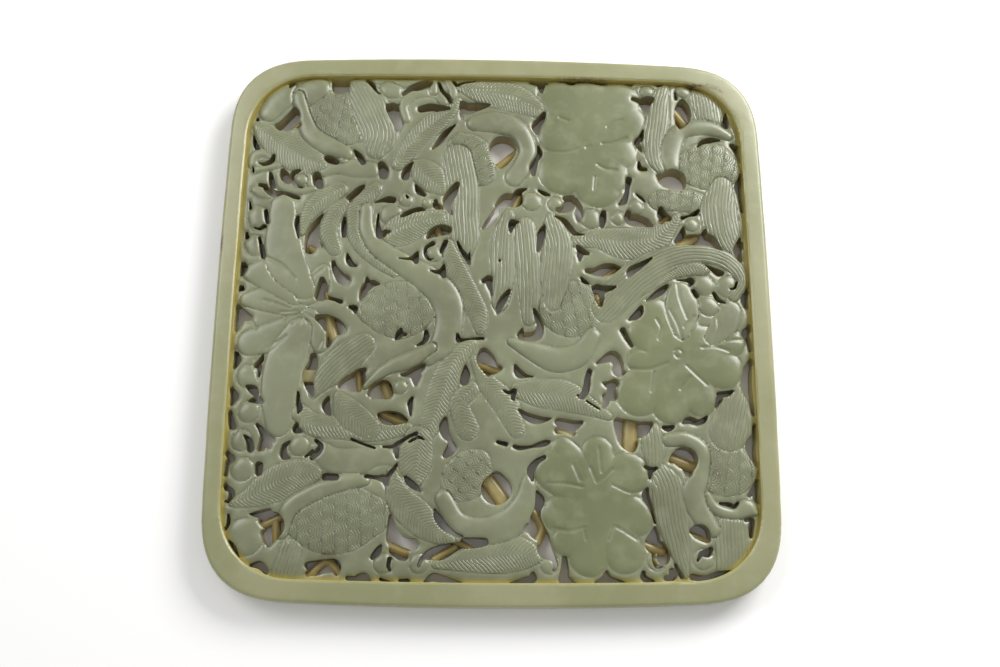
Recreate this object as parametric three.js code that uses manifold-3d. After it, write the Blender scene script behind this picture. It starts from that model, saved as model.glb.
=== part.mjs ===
// A pierced jade plaque: birds, lotus leaves and plumes in openwork inside a plain frame.
// Millimetres, +Z up. The plaque lies on its flat back and the carving faces up.
import * as THREE from 'three';
import { mergeVertices } from 'three/addons/utils/BufferGeometryUtils.js';
import Module from 'manifold-3d';

// The frame, cut from the same slab as the openwork.
const FRAME_HALF_WIDTH = 97.5;
const FRAME_HALF_LENGTH = 98.22;
const FRAME_CORNER = 31;
const FRAME_CENTRE = [0.12, -1.05];
const FRAME_SQUARENESS = 2.8;
const FRAME_BOW = [0.015, 0.03];
const FRAME_TOP = 9.5;
const EDGE_ROUNDING = 1.6;
const BACK_CHAMFER = 0.5;
const FRAME_LIP = 0.5;
const WINDOW_HALF_WIDTH = 91.4;
const WINDOW_HALF_LENGTH = 91.7;
const WINDOW_CORNER = 25.5;
const WINDOW_CENTRE = [-0.2, -0.75];
const WINDOW_SQUARENESS = 2.3;
const WINDOW_BOW = [0.011, 0.018];
const POINTS_PER_CORNER = 7;
const POINTS_PER_SIDE = 4;

// The openwork.
const WEB_TOP = 7;
const RELIEF_TOP = 7.9;
const RELIEF_ROOT = 1;
const RELIEF_SHOULDER = 0.5;
const STEM_TOP = 4;
const PAD_TOP = 4.6;
const PIERCE_CLEARANCE = 2;

// Beside the frame's long walls the openings widen until they meet the wall.
const WALL_START = 90.4;
const WALL_WIDENING = 0.8;

// How finely curves are followed.
const FIELD_STEP = 0.75;
const RUN_STEP = 0.45;
const OPENING_TOLERANCE = 0.43;
const RELIEF_TOLERANCE = 1;
const STEM_TOLERANCE = 0.6;

// The pierced openings, seen from above: each is a run of rounds x, y, radius.
const OPENINGS = [
  [-79, 89.8, 0.5, -76.8, 89.6, 1.2, -77.4, 87.6, 0.5], [-58.5, 92, 3.4, -58.5, 88.3, 3.4],
  [-82, 72.2, 0.6, -78.8, 72, 2.6, -75.6, 75.6, 2.7, -75.3, 78.8, 0.9],
  [-76.5, 73, 1.8, -73.5, 72.2, 1.1], [-89.9, 68, 0.3, -89.2, 65, 0.9, -88.2, 62.9, 1.1],
  [-81.9, 59.6, 0.8, -82.8, 57.6, 1.2, -85, 56.5, 0.9, -87.2, 56.9, 0.3],
  [-62.3, 59.2, 1.2, -60.5, 58.2, 1.6, -58.6, 57.4, 1.1],
  [-52.3, 62.5, 0.5, -50.3, 60, 1.3, -48.9, 57.5, 1.1],
  [-82.8, 53, 0.6, -82.3, 50.5, 1.1, -81.6, 47.6, 1.2], [-78.3, 54, 1, -77.3, 51.5, 1.9, -76, 49.5, 1],
  [-65.7, 52, 1.7, -65.2, 49.8, 1.8, -64.4, 48.2, 1.4],
  [-38.8, 79.8, 2.6, -37.3, 75.5, 2.1, -36.4, 73.5, 1.9, -36.8, 70.6, 0.6],
  [-28, 79.8, 1.5, -24.5, 80.6, 1.7, -20.5, 80.2, 1.4, -17.6, 80, 0.8],
  [-34.6, 86, 0.9, -32, 88.2, 1.3, -28.5, 89.3, 2, -25.6, 90.8, 1.8],
  [-12.3, 82.2, 1.4, -10.8, 80.3, 2.6, -7.5, 81, 1.9, -4.2, 81.6, 1.1, -2.2, 81.9, 0.4],
  [-15.2, 73.5, 0.4, -18.5, 70.3, 1.2, -20.8, 66.8, 1.2, -23.3, 63.7, 0.4],
  [2.8, 64.2, 5.2, 2.2, 60.5, 3.6, 2, 57.3, 1.3], [-42.2, 57, 1.4, -41.3, 55, 1.9, -41.2, 52.6, 1.7],
  [-30.7, 57.8, 0.6, -32.6, 55.3, 1.3, -33.2, 52.8, 1.7, -33.3, 51.8, 1],
  [-29.3, 48.9, 0.5, -27.9, 46.6, 1.3, -26, 45.2, 0.8],
  [-14, 49.4, 1, -15.6, 46.5, 1.9, -17.2, 43.5, 2.1, -17.4, 40.8, 1.4],
  [13.5, 91.8, 0.8, 16.5, 91.3, 1.2, 19, 91.5, 1], [17.2, 90.5, 1.6, 17.3, 87.6, 0.7],
  [37.5, 92.8, 0.9, 40, 92.3, 1.2, 42, 93, 0.5],
  [18.3, 78.8, 0.8, 17, 76.3, 1.5, 15.3, 73.6, 1.8, 15.6, 70.8, 0.8],
  [16, 65.3, 0.5, 16.6, 62.3, 1.1, 15.2, 59.8, 1, 14, 56.5, 1.5, 14.2, 53.8, 0.7],
  [11.5, 48.2, 0.4, 8.6, 46.8, 1.4, 7.6, 43.5, 2.6, 4.5, 43.8, 2.6, 2.2, 42.2, 1.9, 0.8, 41, 1],
  [26, 44.6, 1.2, 28.3, 44.8, 1.2, 27.3, 42, 2.2, 25, 40.2, 1.4, 23, 40, 0.9],
  [29.6, 43.8, 1.2, 31, 41.3, 1.2, 30.9, 38.5, 1.6, 30.7, 35.8, 0.6],
  [8.6, 35, 0.5, 6.5, 34.6, 1.4, 5.9, 32.3, 1, 5.7, 30.8, 0.4],
  [18, 33.6, 0.6, 17.1, 31, 1.5, 16.6, 28, 1.3, 15.8, 24, 0.7],
  [22.3, 37.4, 0.6, 25.3, 35.9, 1, 27.5, 33, 1.2, 29.3, 30.9, 1, 32.6, 30.3, 0.3],
  [30, 26, 0.5, 31.5, 24.2, 1.4, 33.8, 23.3, 0.8], [31, 22.8, 1.2, 30.9, 20.6, 0.5],
  [33.6, 16.7, 1, 36.5, 16.4, 1.6, 39.8, 17, 2.5, 42.8, 17.7, 1.9, 45.6, 18, 0.4],
  [36, 10, 1.2, 38.5, 9.6, 1.7, 41.5, 9.9, 1.1, 43.6, 10.5, 0.5],
  [37.2, 9.5, 2.2, 37.8, 6, 1.7, 38, 3.4, 0.8],
  [48.3, 14.3, 0.5, 49.5, 16.6, 1.6, 53, 18.9, 1.2, 57, 21.6, 0.5],
  [40, 39.3, 1, 39.6, 36.8, 1.4, 39.2, 34, 0.9],
  [49.6, 52.5, 1.3, 49, 49.5, 0.9, 48.5, 46.3, 0.9, 47.5, 43.8, 1.2, 46, 42.6, 0.6],
  [49, 39.6, 0.9, 49.3, 37, 1.9, 52, 36.3, 2.5, 55.3, 35.6, 1.8, 57.6, 34.2, 0.6],
  [52, 85.3, 0.9, 54.5, 84.8, 1.3, 57.5, 84.7, 1.9, 59.4, 85.6, 0.8],
  [56.5, 83.5, 2.2, 56.7, 80.8, 1.3, 56.8, 79, 0.5], [60.8, 92.6, 0.5, 62.3, 91.8, 1.1, 64, 92.8, 0.5],
  [70.8, 84.6, 1.4, 70.8, 81.3, 3, 70.6, 78, 3.1, 69.8, 75, 1.8, 69.2, 73.3, 0.6],
  [87.2, 80.5, 0.4, 87, 77.5, 1.2, 86.6, 75, 1.5],
  [75.8, 66, 0.4, 77.7, 68, 1.1, 81, 69, 1.2, 84, 69, 0.6],
  [88.7, 67, 0.9, 89.8, 66, 1.3, 91, 63, 0.9, 91.9, 61.4, 0.3],
  [55.4, 72.5, 0.4, 54.5, 69.4, 1.1, 52.9, 67.6, 1.1, 54, 65.3, 0.9, 54.6, 63.9, 0.4],
  [53.6, 59.6, 0.5, 54, 57.2, 1.1, 56, 56.7, 0.8],
  [60.7, 54.1, 0.9, 63.2, 52.7, 2.6, 66.3, 52.6, 4.2, 68.3, 50.7, 2.6],
  [91.5, 54.6, 0.4, 90.8, 52.5, 0.9, 89.9, 50, 1.1, 90.6, 46.5, 0.8, 91.2, 41, 0.3],
  [61, 40.8, 1, 61.9, 38.2, 2, 63.7, 37.3, 1.4], [62, 37.5, 1.5, 61, 35.6, 0.9],
  [69.2, 33.8, 0.5, 68.7, 31.2, 1.4, 67.3, 28.3, 1.7],
  [67.3, 28.3, 1.7, 70.5, 28.9, 2.2, 74.5, 29.1, 2.3, 78.3, 28.9, 2.4, 81, 26.7, 1.3, 82.7, 25.3, 0.4],
  [76.8, 31.5, 1.2, 77.2, 33, 0.5], [89.9, 30, 0.4, 89.2, 27, 1.3, 88.6, 24.5, 1.7, 89.7, 21.3, 0.7],
  [76.8, 19.2, 0.4, 79.2, 17.8, 0.9, 81.5, 16.4, 1.4, 83, 16.5, 0.6],
  [66, 13.5, 0.3, 69, 13.4, 0.6, 71.2, 13.3, 1.3, 70.7, 11.6, 0.6], [71.8, 9.4, 0.9, 72.9, 7.7, 1.1],
  [91, 9.5, 0.4, 89.9, 6.7, 1.1, 90.4, 3.8, 0.7], [62.4, 11.3, 0.8, 60, 9.2, 1.4, 57, 7, 1, 55, 5.5, 0.5],
  [52.8, 3, 0.8, 51.9, 0.9, 1.5, 50, -0.7, 1.2, 48.3, -1.7, 0.4],
  [46, -5.6, 1.2, 47.2, -8.3, 1, 48.9, -11.3, 0.7],
  [91.3, -4, 0.6, 89.6, -6.2, 1.2, 90.5, -9, 0.8, 91.2, -12, 0.3],
  [91, -16.5, 0.6, 89.7, -19.3, 1.3, 89.2, -23, 1.6, 88.8, -26, 1.8, 90, -30.5, 0.9, 90.9, -35.3, 0.3],
  [79.5, -28.6, 1.1, 82, -28.4, 1.2, 84.3, -27.4, 0.5], [79.3, -30.4, 1.3, 78, -33, 0.5],
  [66.2, -39, 0.5, 68.5, -38, 1.4, 71.3, -38.8, 1.1, 73.5, -37.9, 1, 74.8, -36.6, 0.4],
  [59.5, -40.7, 0.9, 60.9, -41, 1.2, 62.7, -40.3, 0.7],
  [43.4, -38.8, 1.6, 45.5, -41.5, 3.3, 47, -45.3, 3.4, 48, -48, 1.6],
  [46, -40.5, 2.8, 50.5, -41.5, 3, 53, -40.5, 2, 55.2, -39.3, 0.7],
  [5.3, 8.6, 0.7, 3.4, 5.6, 1.4, 1.7, 2.4, 1.3, 1.3, 0.3, 0.7],
  [14.2, 1.6, 0.6, 15.3, -1, 1.2, 16.4, -4.5, 1.3,
    15.2, -7.7, 1.9, 12, -8.5, 1.8, 9.6, -8, 1.5, 10, -5.6, 0.5],
  [-3.6, -14.4, 1.9, -2.8, -17.3, 3.4, -0.8, -19.8, 2.6, 2.2, -20, 0.9], [-2.5, -20, 2, -2, -22.3, 1],
  [7.5, -19, 0.6, 8.9, -21.8, 1.6, 11.2, -22.6, 0.8, 13.7, -23, 0.3],
  [8.9, -35, 0.6, 11.5, -37.1, 1.4, 14.3, -38.2, 1.7, 17.2, -38.3, 1.1, 20, -37.8, 0.3],
  [22.7, -39, 1.5, 25.5, -40.5, 2.6, 28, -40.2, 1.8, 30.8, -39, 0.6],
  [22.4, -42, 1.3, 25, -42, 1.2, 27.6, -43, 1],
  [33.8, -20.7, 1, 33, -23.5, 1.1, 32.5, -27, 1.3, 31, -30, 1.1, 29.4, -29.7, 0.5],
  [36.5, -17.8, 0.5, 38.7, -16.6, 1.2, 42.2, -15.3, 2.2, 44, -18, 1.9, 44, -20.8, 1.9, 46.2, -21, 0.6],
  [38.6, -24.9, 0.4, 40.7, -25.6, 1.5, 42.5, -24.9, 1.6], [41.5, -26, 1.5, 41.3, -29, 1.7],
  [39.3, -29.7, 1.3, 41.8, -29.8, 1.7], [39.3, -29.7, 1.3, 39.4, -31.8, 1.1, 38.2, -33.8, 0.6],
  [0.5, 39.5, 1.2, -0.6, 36.8, 1.6, -2.3, 34.6, 1.4, -4.3, 32.4, 0.6],
  [-3.8, 12.3, 1, -1.9, 13.2, 1.3, -1.9, 11, 1.1, -1.1, 8, 0.5, -0.9, 6.8, 0.3],
  [-13.5, 26.8, 0.5, -12.2, 23.8, 0.8, -10.2, 20.8, 1.1, -9.2, 18.6, 0.6],
  [-24.3, 28.7, 0.8, -22.6, 30.3, 1.7, -19.9, 31.3, 2.2, -17.3, 31.5, 1.7],
  [-28, 22.7, 0.6, -28.7, 20.7, 1.4, -28.3, 18.8, 0.9],
  [-28.7, 20.7, 1.4, -31.5, 20, 0.6, -34.5, 20.1, 0.3],
  [-18.3, 18, 0.5, -18.8, 15.5, 1.3, -18.3, 13.6, 0.9],
  [-18.8, 15.5, 1.3, -21.3, 15.3, 0.8, -23.1, 15.7, 0.3],
  [-42.6, 37.3, 0.4, -42.7, 34, 0.7, -42.3, 31, 1.1,
    -41.6, 28.8, 1.4, -39.8, 30.2, 1.1, -38.3, 30.4, 0.6],
  [-44, 41.9, 0.3, -41.5, 42.7, 0.8, -39, 43.2, 1.4, -37.4, 43, 1.3],
  [-34.1, 36.6, 0.7, -32.5, 37.6, 1.1, -29.6, 39, 1, -27.2, 39.6, 0.9, -25.5, 39.3, 0.3],
  [-21.8, 43, 0.7, -21.5, 40.9, 1.3, -19.3, 40.3, 0.8],
  [-53.8, 43.6, 1.1, -51.9, 44.8, 1.5, -49.8, 47, 1.3, -48.3, 48.4, 0.6],
  [-53, 43.6, 1.2, -52.8, 42.2, 0.6],
  [-62.8, 36.9, 0.5, -64.8, 33.9, 1.2, -66.2, 30, 2.2, -66.3, 26.5, 2.6, -66.8, 23.5, 2],
  [-64.5, 25.3, 1.4, -62.8, 24.6, 0.7], [-54.8, 35.6, 0.7, -54.9, 32.5, 1.1, -54.8, 28.8, 0.9],
  [-53.3, 21.8, 0.4, -52.7, 19.6, 1.1, -51.6, 17.9, 1.1, -49.9, 17.4, 0.5],
  [-58.2, 18.6, 0.8, -57.4, 16.2, 1.2, -55.2, 12.9, 2, -53.8, 12, 2.2],
  [-61.8, 11.8, 1.1, -61.6, 8.8, 2.1, -62.2, 6, 2.2], [-61.5, 5.6, 1.2, -57.5, 4.7, 0.7, -54.9, 3.8, 0.9],
  [-51.5, 1.9, 0.7, -49.8, 1.4, 1.2, -49.5, -0.2, 0.5],
  [-41.5, 10.6, 0.5, -44.3, 10.6, 1.6, -46.4, 8.7, 1.7, -47.3, 6, 1.2, -47.8, 4.5, 0.5],
  [-45.8, 12.7, 0.6, -45.5, 11, 1.2],
  [-84, 46.6, 1, -81, 44.7, 1.5, -77.5, 45, 0.8, -74, 43.9, 0.9, -72, 43.3, 0.8],
  [-85.2, 27.5, 0.6, -84.6, 25.5, 0.7, -83.9, 23, 1, -83.3, 20.5, 1.1],
  [-90, 18, 0.5, -89.6, 15.8, 1.1, -90.2, 13.3, 0.4],
  [-90.8, 1.5, 0.6, -89.3, -1.3, 1.8, -87.2, -2.5, 1.5],
  [-89.3, -1.3, 1.8, -90, -3.2, 1.6, -90.8, -6.5, 0.7],
  [-81.2, -16.3, 0.5, -82, -18.3, 1.1, -83.5, -20.1, 0.9],
  [-86.2, -27.5, 0.5, -84, -28.6, 1.6, -82.9, -30, 1.2],
  [-80.2, -33.2, 0.4, -82.3, -32.3, 1.4, -85, -32.8, 0.5],
  [-91, -28.6, 0.4, -89.8, -31, 1.2, -90.6, -33.5, 0.5],
  [-81.8, -41, 0.6, -80.3, -42.6, 1, -78.8, -45, 1.4, -76.4, -46.3, 1.1],
  [-77.6, -46.5, 1.2, -77.3, -48.8, 0.7], [-85.7, -45, 0.5, -84, -46.9, 1.2, -83.5, -49.4, 1.4],
  [-80, -45.8, 0.7, -79.6, -48.4, 1.5, -80.7, -49.7, 0.7],
  [-63.6, -16.4, 1.3, -63.6, -19.3, 1.9, -64.9, -23, 2.2, -64.6, -26.5, 1.7, -63, -30.6, 0.8],
  [-62.4, -2.4, 1.4, -59.5, -3.6, 2.6, -56.8, -5.6, 3.3, -54, -6.4, 1.7],
  [-57.8, -8.8, 1.7, -58.7, -12.6, 0.7],
  [-68.2, -29.5, 0.5, -68, -33, 0.9, -67.3, -35.3, 1.1, -67.8, -36.8, 0.5],
  [-68.1, -40.6, 0.7, -68.3, -42.6, 1.3, -66.6, -43.2, 0.7],
  [-57.7, -31.2, 0.6, -58.4, -33.6, 1.5, -57.7, -35.8, 1.3, -56.8, -37.3, 0.5],
  [-53.8, -26.9, 1, -51.3, -26.3, 2.6, -48.3, -25.3, 3.2, -46.9, -22.5, 1.8, -45.3, -20.9, 0.7],
  [-49, -27.8, 1.4, -47.3, -28.2, 1],
  [-61.3, -46.3, 0.6, -59.4, -48.3, 1, -60.5, -50.5, 1.3, -62.3, -52.3, 1],
  [-33.6, -49, 1.1, -33.2, -52, 0.6], [-33, -6.3, 0.5, -33.7, -8.3, 1.4, -34.8, -9.8, 0.5],
  [-24.2, -6.8, 0.7, -24, -8.8, 1.1, -24.9, -10.7, 0.9, -27.2, -12.1, 0.4],
  [-32.5, -22.8, 0.5, -29.3, -22.3, 1.4, -26.3, -20.6, 1.5, -24.7, -19.2, 0.7],
  [-27.5, -23, 1.9, -27.4, -26.3, 0.6],
  [-43.3, -29.8, 1, -40.9, -28.2, 2.6, -38, -26.7, 2, -36.7, -29.5, 1.6],
  [-42, -30.5, 1.2, -37, -30.5, 1.2],
  [-39.5, -37.3, 1.1, -36.8, -38.2, 2.6, -33.5, -38.4, 2.3, -30.8, -39, 1.1],
  [-10, -19.5, 0.6, -10, -22.5, 1.6, -10.4, -25, 1.6],
  [-16.8, -38.4, 0.8, -17.3, -41, 1.7, -16.7, -43.5, 1.6,
    -14.9, -46.3, 0.9, -14.6, -48.8, 1.9, -16.4, -51, 1.2],
  [-43.5, -58.6, 0.8, -40, -59, 0.8, -37.2, -59.4, 1.5, -36.6, -61.2, 0.9],
  [-30.1, -58.7, 0.6, -28.8, -60.4, 1.2, -26.8, -62, 1.2, -25, -63.4, 0.5],
  [-34.8, -72, 0.6, -34.2, -76.5, 1.8, -33, -80, 2.8, -30.3, -81.3, 2.6, -27, -81.3, 2],
  [-33.5, -83.5, 1.6, -31, -84.5, 2.2, -29.8, -85.5, 1.5],
  [-23.6, -85.7, 0.7, -20.8, -84.6, 1.9, -17.3, -84, 2.6, -13.6, -82.5, 1.7, -10.8, -81.6, 1.2],
  [-9.3, -80.9, 1.9, -5.5, -80.8, 1.8, -2.8, -80.5, 1.4],
  [-19.8, -69.8, 0.5, -18.6, -72.6, 1.4, -16.2, -75.7, 1.3, -12.8, -77.9, 0.8, -10.4, -78.6, 0.5],
  [-37.8, -82, 0.6, -38.9, -84, 1.3, -40.4, -85.8, 0.9],
  [-46.5, -93.2, 1, -43.3, -92.3, 1.5, -41.3, -93.3, 0.8],
  [-22.7, -93.7, 0.5, -20, -92.2, 1.4, -17, -92.8, 1.4, -13, -93.6, 0.8, -10.5, -94, 0.3],
  [1.1, -62.7, 5.3, 1.1, -58.8, 2.4],
  [7.3, -47.8, 0.8, 9.3, -48.3, 0.9, 13, -47.8, 0.6, 17.5, -46.6, 1.2, 19.3, -46, 0.6],
  [17.5, -51.5, 0.8, 14.8, -53.2, 1.1, 12.9, -56.1, 1.4, 13.4, -59.4, 0.7],
  [15, -63.3, 0.5, 16, -66.3, 1.7, 15.2, -69.3, 1.3, 14.5, -72.5, 1.9, 15, -76.5, 3],
  [15, -76.5, 3, 17.3, -79.3, 2.2, 17.8, -83, 2.7, 20.3, -85.6, 1.3, 21.3, -88, 0.9, 20.6, -89.6, 0.6],
  [10.5, -76.3, 0.5, 12.4, -75.7, 1.8], [13.5, -91, 0.9, 13.2, -92.6, 1.5, 9.5, -93.3, 0.9, 6, -94, 0.3],
  [24.2, -85.8, 1, 24.3, -89, 1.4, 24, -92.5, 2], [24, -92.5, 2, 26, -93, 0.9, 28, -94, 0.3],
  [38.4, -90.1, 0.6, 38.3, -92.5, 1.9],
  [35, -93.6, 0.8, 38.3, -92.8, 1.5, 42.3, -93.3, 0.9, 45.5, -94, 0.3],
  [53, -62, 0.6, 52.3, -64.4, 1.4, 53.6, -67.6, 1, 54.6, -71, 0.6, 55.3, -73.8, 0.4],
  [55.2, -75.3, 0.6, 54.8, -78.3, 2, 54.3, -81, 2.8, 57, -82, 2, 59, -84.3, 1.3],
  [57.6, -83.5, 1.8, 57.6, -85.4, 2.4], [60.5, -89.8, 1.2, 60.8, -91.5, 1.3, 58.5, -92, 1],
  [50.8, -90.3, 0.8, 51, -92, 1.2, 54, -93.3, 0.8],
  [61.3, -52.5, 0.7, 63.5, -51.3, 2.2, 66.5, -51.4, 4, 67.8, -53.5, 2.5],
  [67.3, -55, 2, 67.3, -56.8, 1.3], [68.3, -76.3, 1.5, 70.8, -76.8, 2.7, 72.8, -79, 1.4],
  [74, -82.3, 0.9, 72.6, -83.7, 1.5, 70.5, -84, 0.9, 69.2, -86.2, 0.5],
  [67.5, -91.6, 1.2, 71.5, -92, 1, 76, -90.9, 1.3, 81, -90.4, 1.2, 84.8, -89.2, 0.7],
  [86.3, -72.6, 0.6, 88.6, -72.4, 0.9, 88.2, -75, 1.1, 88, -78, 0.7],
  [91, -59.5, 0.6, 90, -62, 1.3, 88, -64.1, 0.7], [90, -62, 1.3, 90.5, -65.5, 1],
  [91.2, -40, 0.5, 90.7, -43, 0.7, 89.3, -46.5, 1.6, 89.5, -50, 1.2, 90.8, -53.5, 0.4],
  [-80.2, -55.2, 1.5, -80.2, -57.5, 1.4],
  [-70.3, -46.9, 0.5, -72, -48.7, 1.1, -72, -51.7, 1.3, -70.2, -52.5, 0.6],
  [-90.8, -62.2, 0.5, -88.8, -64.7, 1.2, -89.8, -67.5, 0.7],
  [-88.7, -81, 0.7, -87.2, -83, 1.2, -85.5, -85.7, 0.6], [-57.4, -58.9, 1.4, -53.9, -59, 1.3],
  [-82.3, -71.7, 0.3, -79.2, -71.7, 1.3, -76, -70.8, 1.2],
  [-77.8, -73.5, 1.6, -75, -74, 3.4, -73.3, -76, 3.2, -74.3, -79.3, 1.8, -75.4, -82, 0.8],
  [-77, -78, 1.4, -76, -80.5, 1.4],
  [-61.8, -88.5, 1.3, -59.5, -89.2, 2.3, -55.8, -88.8, 2.4, -53, -88.8, 2.2, -52.2, -91, 1],
  [-61.8, -91.3, 1, -58, -90.7, 1.1], [-81, -88.6, 0.6, -77.9, -88.6, 1.4, -75.6, -90.7, 1],
];

// The carved masses that stand above the web, each a run of rounds x, y, radius.
const RELIEF = [
  // birds' bodies
  [-66, 76, 6, -57, 74, 10.5, -49, 73, 6], [-13, 64, 5, -8, 60, 8, -5, 54, 4],
  [74, 60, 5, 81, 58, 9, 88, 57, 4], [21, 2, 4, 28, 3, 9.5, 34, 6, 4],
  [-41, 2, 6, -33, 2, 9, -26, 2, 7], [-64, -72, 5, -53, -73, 11, -42, -71, 7],
  [-12, -62, 4, -8, -58, 7, -5, -53, 4], [73, -52, 3, 79, -55, 8, 87, -55, 5],
  // birds' necks
  [-74, 84, 2.5, -71.5, 75, 3, -68, 68, 3.5, -61, 63.5, 3.5, -55, 61, 2.5],
  [-8, 74, 3, 0, 74.5, 4, 8, 72, 3.5, 12, 64, 3, 10, 57, 3.5, 6, 53, 3.5],
  [66, 64, 4, 72, 72, 3, 80, 73, 2.5, 87, 71.5, 2],
  [-52, 26, 3, -45, 22, 4, -35, 17, 4.5, -25, 12, 5, -17, 5, 4.5, -14, -3, 4, -17, -12, 3],
  [6, -10.5, 1.5, 14, -14, 3.5, 22, -17, 4.5, 30, -15, 4, 35, -8, 3],
  [-17, -66, 3, -12, -74, 3.5, -3, -77, 4.5, 6, -74, 5, 11, -67, 4, 12, -60, 2.5],
  [-71, -78, 2, -69, -70, 3, -62, -65, 3, -52, -61, 3],
  // wings, tails and plumes
  [-51, 88, 4.5, -47, 80, 6, -43, 70, 6, -44, 63, 4], [-14, 60, 5, -12, 48, 5, -12, 38, 5, -12, 24, 3],
  [-89, 71.5, 1.5, -84, 67.5, 4.5, -77, 62.5, 6, -70, 58.5, 5, -64.5, 56.5, 2.5],
  [3, 4, 2.5, 3, 14, 3.5, 3, 27, 4, 5, 37, 2], [12.5, -2, 2.5, 12.5, 10, 3.5, 12, 22, 4, 11, 32, 3],
  [21, 4, 3, 22, 15, 5, 23, 26, 5, 21, 35, 2], [-17, 26, 2, -14, 16, 4, -10, 8, 4, -6, 0, 3.5, -5, -6, 2],
  [40, 2, 4, 50, 13, 6, 60, 20, 5, 70, 23.5, 3.5, 80, 23, 3, 87, 19, 2.5, 89, 13, 2],
  [-13, 88, 2, -4, 87, 5, 6, 85, 5.5, 14, 80, 3], [-19, -88, 1.5, -8, -86.5, 4, 3, -84.5, 6, 12, -85, 2],
  [-63, -30, 1.5, -58, -23, 4.5, -52, -17, 5.5, -46, -12, 4], [84, 50, 2.5, 83, 38, 6, 85, 28, 4],
  [86, -27, 1.5, 84, -34, 4.5, 82, -42, 6],
  [-88, -68, 1.5, -82, -66, 3.5, -75, -62, 5.5, -67, -58.5, 5, -61, -58, 2.5],
  // leaves and petals
  [26, 86, 6, 34, 74, 14, 34, 62, 15, 32, 52, 7], [64, -2, 12, 66, -14, 20, 65, -26, 10],
  [30, 28, 2.5, 38, 29, 4, 48, 27, 5.5, 58, 29, 4.5, 64, 34, 2.5],
  [-41, 26, 1.5, -34, 31, 5.5, -27, 34, 4.5, -20, 35, 3], [-36, 57, 2.5, -31, 65, 4, -25, 72, 4.5, -19, 77, 3],
  [-35, -57, 1.5, -32, -66, 4.5, -26, -72, 5, -20, -77, 3.5], [-78, 38, 4, -78, 29, 5.5, -76, 18, 5],
  [-76, -40, 3.5, -74, -28, 6, -73, -16, 5.5], [-67, -37, 3, -61, -40.5, 3, -52, -42, 3.5, -40, -43, 3],
  [-6, -18, 1.5, -2, -26, 3, 4, -33, 4, 8, -41, 3], [10, -28, 2.5, 16, -29, 4.5, 25, -30, 5, 34, -34, 2.5],
  [64, 91, 2, 62, 84, 3.5, 61, 77, 4, 60, 68, 4, 60, 60, 2.5],
  [57, -55, 2, 60, -62, 5, 61, -72, 5, 63, -82, 3.5, 64.5, -89, 1.5],
  [20, -57, 6, 33, -65, 13, 43, -72, 9], [-27, -50, 5, -26, -57, 4], [-61, -51, 3, -50, -53, 5.5, -38, -52, 4],
];

// Plain stems left low between the openings, and the one pad that stands a little higher.
const STEMS = [
  [-78, 70, 0.9, -72, 76, 0.9], [8, 64, 1.5, 1, 58, 1.5], [48.5, -36.5, 2.5, 47.5, -50.5, 2.5],
  [-59.5, 0, 1.8, -57, -9, 1.8], [-48, -21, 1.2, -47, -28, 1.2], [-38.5, -26, 1.8, -36.5, -31, 1.8],
  [-39, -36, 1.3, -30, -40, 1.3], [-6, -18, 1.3, 3, -21, 1.3], [-2.5, -58, 2.5, 4, -67, 2.5],
  [-36, -81.5, 1.5, -27, -85, 1.5], [-20, -86, 1.2, -13, -82, 1.2], [-12, -80, 1.2, -7, -83, 1.2],
  [14, -70, 1.5, 17, -75, 1.5, 15.3, -80, 1.5], [-79, -75.5, 1.3, -72, -72, 1.3],
  [-74, -73, 1.3, -73.5, -81, 1.3], [-62, -92, 1.3, -56, -87, 1.3, -51, -92, 1.3],
  [62, -51, 1.8, 70, -54, 1.8], [67, -77, 1.3, 74, -80, 1.3], [52, -81, 1.5, 58, -83, 1.5],
  [74, 31.5, 1.8, 67, 27, 1.8], [60, 36, 1.2, 65, 39, 1.2], [68, 82, 1.5, 72, 77, 1.5],
  [-60.5, 8, 1, -59.5, 4, 1], [9, 46, 1.2, 7, 41, 1.2], [37, 8, 1.4, 38, 4, 1.4],
];
const PADS = [[-68, -23, 2.3, -61.5, -23, 2.3]];

const wasm = await Module();
wasm.setup();

// A smooth run of rounds through the given ones.
function smoothRun(numbers) {
  const stations = [];
  for (let i = 0; i < numbers.length; i += 3) {
    stations.push(new THREE.Vector3(numbers[i], numbers[i + 1], numbers[i + 2]));
  }
  const curve = new THREE.CatmullRomCurve3(stations, false, 'catmullrom', 0.5);
  let length = 0;
  for (let i = 1; i < stations.length; i += 1) {
    length += Math.hypot(stations[i].x - stations[i - 1].x, stations[i].y - stations[i - 1].y);
  }
  const steps = Math.max(4, Math.ceil(length / RUN_STEP));
  const rounds = [];
  for (let i = 0; i <= steps; i += 1) {
    const p = curve.getPoint(i / steps);
    rounds.push({ x: p.x, y: p.y, r: Math.max(p.z, 0.2) });
  }
  return rounds;
}

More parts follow.
